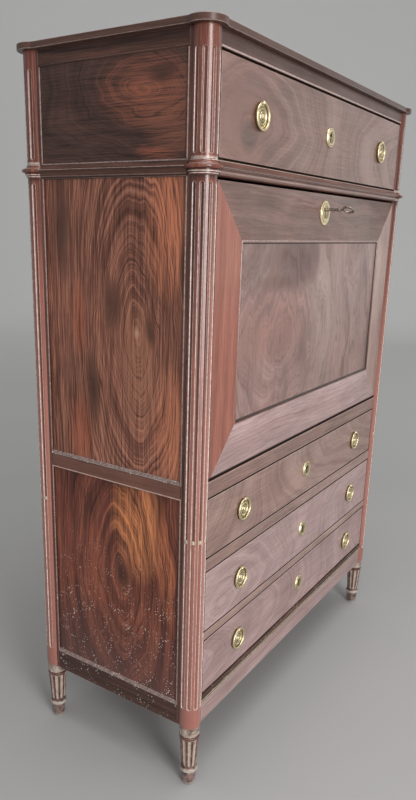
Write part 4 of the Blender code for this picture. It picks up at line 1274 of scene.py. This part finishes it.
def build_key(bore):
    """Turned shank with a collar, an oval bow and a plain bit."""
    low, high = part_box("fall_key")
    tilt = Matrix.Rotation(math.radians(26), 4, "Y")
    bow, bow_tube, shank = 0.0108, 0.0023, 0.0031
    axis = Vector((0, 0, bore.z))
    bow_y = low.y + bow + bow_tube
    length = high.y - (bow_y + bow)
    collars = (
        (0, -23), (1.4, -22.4), (1.6, -21.2), (1.4, -20), (0, -19.4), (-0.3, -11), (0.9, -10), (1.1, -8.8),
        (0.9, -7.6), (-0.2, -6.6), (-0.4, 0),
    )
    profile = [(0, 0), *mm(((-0.4, 0), (0, 0.4)), shank), *mm(collars, shank, length), (0, length)]
    parts = [turned(profile, axis + Vector((0, high.y, 0)), OUTWARD, 28)]
    loop = []
    for step in range(48):
        angle = 2 * math.pi * step / 48
        offset = tilt @ Vector((bow * math.sin(angle), bow * math.cos(angle), 0))
        loop.append(axis + Vector((0, bow_y, 0)) + offset)
    parts.append(swept(loop, bow_tube, 12, closed=True))
    bit = board((0.0008, FRONT + 0.0075, -0.0011), (0.0085, FRONT + 0.0135, 0.0011), 0.0003)
    bit.transform(Matrix.Translation(axis) @ tilt)
    parts.append(bit)
    add_piece("fall_key_forged", joined(parts), STEEL, "key", "fall_key")


# ---------------------------------------------------------------- the inside
def pigeonhole_bays():
    """Corners of each pigeonhole, out to its walls, which the record's openings stop short of."""
    short = Vector((0.001, 0, 0.001))
    openings = [o["box_m"] for o in RECORD["physics"]["openings"] if "pigeonhole" in o["name"]]
    return [(Vector(low) - short, Vector(high) + short) for low, high in openings]


def valance(low, high):
    """Shaped strip under the top of a bay."""
    half = (high.x - low.x) / 2
    centre = (high.x + low.x) / 2
    y = low.y + 0.004
    corners = []
    for step in range(41):
        share = -1 + step / 20
        drop = 0.014 + 0.020 * abs(share) ** 2.2 - 0.007 * math.exp(-((share / 0.16) ** 2))
        corners.append(Vector((centre + half * share, y, high.z - drop)))
    corners += [Vector((centre + half, y, high.z)), Vector((centre - half, y, high.z))]
    return prism(corners, Vector((0, 0.004, 0)), 0.0004)


def build_inside():
    node = "pigeonhole_unit"
    low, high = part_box(node)
    stand_in(node, "oak", refined(node, 0.0005), OAK, "case", "ZYX", node)
    bays = pigeonhole_bays()
    front = low.y - 0.0012
    strips = []
    verticals = sorted({round(corner.x, 4) for bay in bays for corner in bay})
    levels = sorted({round(corner.z, 4) for bay in bays for corner in bay})
    for left, right in zip([low.x] + verticals[1::2], verticals[0::2] + [high.x]):
        strips.append(board((left + 0.0006, front, low.z), (right - 0.0006, low.y, high.z), 0.0006))
    for bottom, top in zip([low.z] + levels[1::2], levels[0::2] + [high.z]):
        corner = (low.x + 0.001, front + 0.0002, bottom + 0.0006)
        strips.append(board(corner, (high.x - 0.001, low.y, top - 0.0006), 0.0005))
    add_piece(f"{node}_facings", lay_grain(joined(strips), "ZYX", "facings", 1.2), MAHOGANY, "case")
    top_row = max(bay[1].z for bay in bays) - 0.01
    valances = joined([valance(*bay) for bay in bays if bay[1].z >= top_row])
    add_piece(f"{node}_valances", lay_grain(valances, "ZYX", "valances", 1.0), MAHOGANY, "case")
    build_inner_drawer(low.y + 0.002)


def build_inner_drawer(front):
    node = "inner_drawer"
    low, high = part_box(node)
    wall = 0.006
    mesh = board((low.x, front, low.z), (high.x, front + 0.010, high.z), 0.0007)
    stand_in(node, "front", mesh, DRAWER, node, "ZYX", "inner", 0.8)
    start = front + 0.0101
    left, right, back = low.x + wall, high.x - wall, high.y - wall
    boards = [
        board((low.x, start, low.z), (left, high.y, high.z - 0.001)),
        board((right, start, low.z), (high.x, high.y, high.z - 0.001)),
        board((left, back, low.z), (right, high.y, high.z - 0.002)),
        board((left, start, low.z), (right, back, low.z + wall)),
    ]
    stand_in(node, "tray", joined(boards), OAK, node, "ZXY", "inner tray")
    reach = front - low.y
    neck = ((0, -1), (5.5, 0), (5.5, 1), (3.4, 2), (2.8, 5), (3.4, 7.5), (5.8, 9.5))
    profile = mm(neck) + mm(((6.6, -4), (6, -1.8), (3.6, -0.4), (0, 0)), 0, reach)
    knob = turned(profile, Vector((0, front, (low.z + high.z) / 2)), OUTWARD, 32)
    add_piece("inner_drawer_knob", knob, BRASS, node, node)


def build_back():
    """Back of upright boards, each with its arrises taken off."""
    low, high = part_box("back_panel")
    wide = (high.x - low.x) / 5
    for index in range(5):
        left = low.x + wide * index
        mesh = board((left + 0.0002, low.y, low.z), (left + wide - 0.0002, high.y, high.z), 0.0012)
        tint = -0.8 + 0.3 * (index % 3)
        stand_in("back_panel", f"board_{index + 1}", mesh, OAK, "case", "XYZ", f"back {index}", tint)


# ---------------------------------------------------------------- studio
def add_stage(name, mesh, material_name):
    mesh.materials.append(floor_surface(material_name))
    stage = bpy.data.objects.new(name, mesh)
    bpy.context.scene.collection.objects.link(stage)
    return stage


def build_floor():
    """Pale floor that rises into a backdrop far behind."""
    bm = bmesh.new()
    profile = [(-5.0, 0.0), (5.5, 0.0)] + arc((5.5, 1.5), 1.5, -90, 0, 10) + [(7.0, 6.0)]
    turn = Matrix.Rotation(math.radians(-57), 4, "Z")
    rows = [[bm.verts.new(turn @ Vector((x, y, z))) for x in (-9.0, 9.0)] for y, z in profile]
    skin(bm, rows, ring=False)
    add_stage("studio_floor", finished(bm, 60), "pale_floor")


def build_surround():
    """Bowl that closes the view behind the floor from every side. It is seen but blocks no light."""
    profile = [(0.0, -0.004), (8.0, -0.004)] + arc((8.0, 2.996), 3.0, -90, 0, 12) + [(11.0, 9.0)]
    surround = add_stage("studio_surround", turned(profile, Vector((0, 0, 0)), segments=96), "pale_surround")
    surround.visible_diffuse = False
    surround.visible_glossy = False
    surround.visible_transmission = False
    surround.visible_shadow = False


def add_light(name, place, width, height, power, colour=(1, 1, 1)):
    """Soft rectangular light that faces the middle of the desk."""
    data = bpy.data.lights.new(name, "AREA")
    data.energy = power
    data.color = colour
    data.shape = "RECTANGLE"
    data.size = width
    data.size_y = height
    lamp = bpy.data.objects.new(name, data)
    bpy.context.scene.collection.objects.link(lamp)
    lamp.location = place
    lamp.rotation_euler = (Vector((0, 0, 0.75)) - Vector(place)).to_track_quat("-Z", "Y").to_euler()


def build_studio():
    build_floor()
    build_surround()
    add_light("key_window", (-1.96, -3.02, 1.45), 1.1, 2.6, 95, (1.0, 0.98, 0.97))
    add_light("right_window", (3.4, -1.9, 1.6), 3.0, 2.4, 13, (1.0, 0.98, 0.97))
    add_light("overhead", (-0.4, -0.8, 4.3), 2.6, 2.6, 75)
    world = bpy.data.worlds.new("studio")
    world.use_nodes = True
    background = world.node_tree.nodes["Background"]
    background.inputs["Color"].default_value = (0.366, 0.366, 0.366, 1.0)
    background.inputs["Strength"].default_value = 1.0
    bpy.context.scene.world = world
    bpy.context.scene.view_settings.view_transform = "Standard"


def build_camera():
    """Close, high view of the front left corner, pitched down a little and leaning slightly."""
    yaw, pitch, roll = math.radians(56.96), math.radians(-16.18), math.radians(1.517)
    ahead = Vector((math.sin(yaw) * math.cos(pitch), math.cos(yaw) * math.cos(pitch), math.sin(pitch)))
    level = ahead.cross(UP).normalized()
    upward = level.cross(ahead)
    right = level * math.cos(roll) + upward * math.sin(roll)
    top = upward * math.cos(roll) - level * math.sin(roll)
    data = bpy.data.cameras.new("camera")
    data.sensor_width = 36.0
    data.lens = 31.22
    data.shift_x = 0.0117
    data.shift_y = 0.0388
    data.clip_start = 0.05
    data.clip_end = 50.0
    camera = bpy.data.objects.new("camera", data)
    bpy.context.scene.collection.objects.link(camera)
    facing = Matrix((right, top, -ahead)).transposed()
    camera.matrix_world = Matrix.Translation((-1.4092, -0.7885, 1.0761)) @ facing.to_4x4()
    bpy.context.scene.camera = camera


build_top()
build_posts()
build_feet()
for side, side_name in SIDES:
    build_side(side, side_name)
build_front_rails()
for drawer in DRAWER_LOOKS:
    build_drawer(drawer)
build_fall()
build_inside()
build_back()
build_studio()
build_camera()
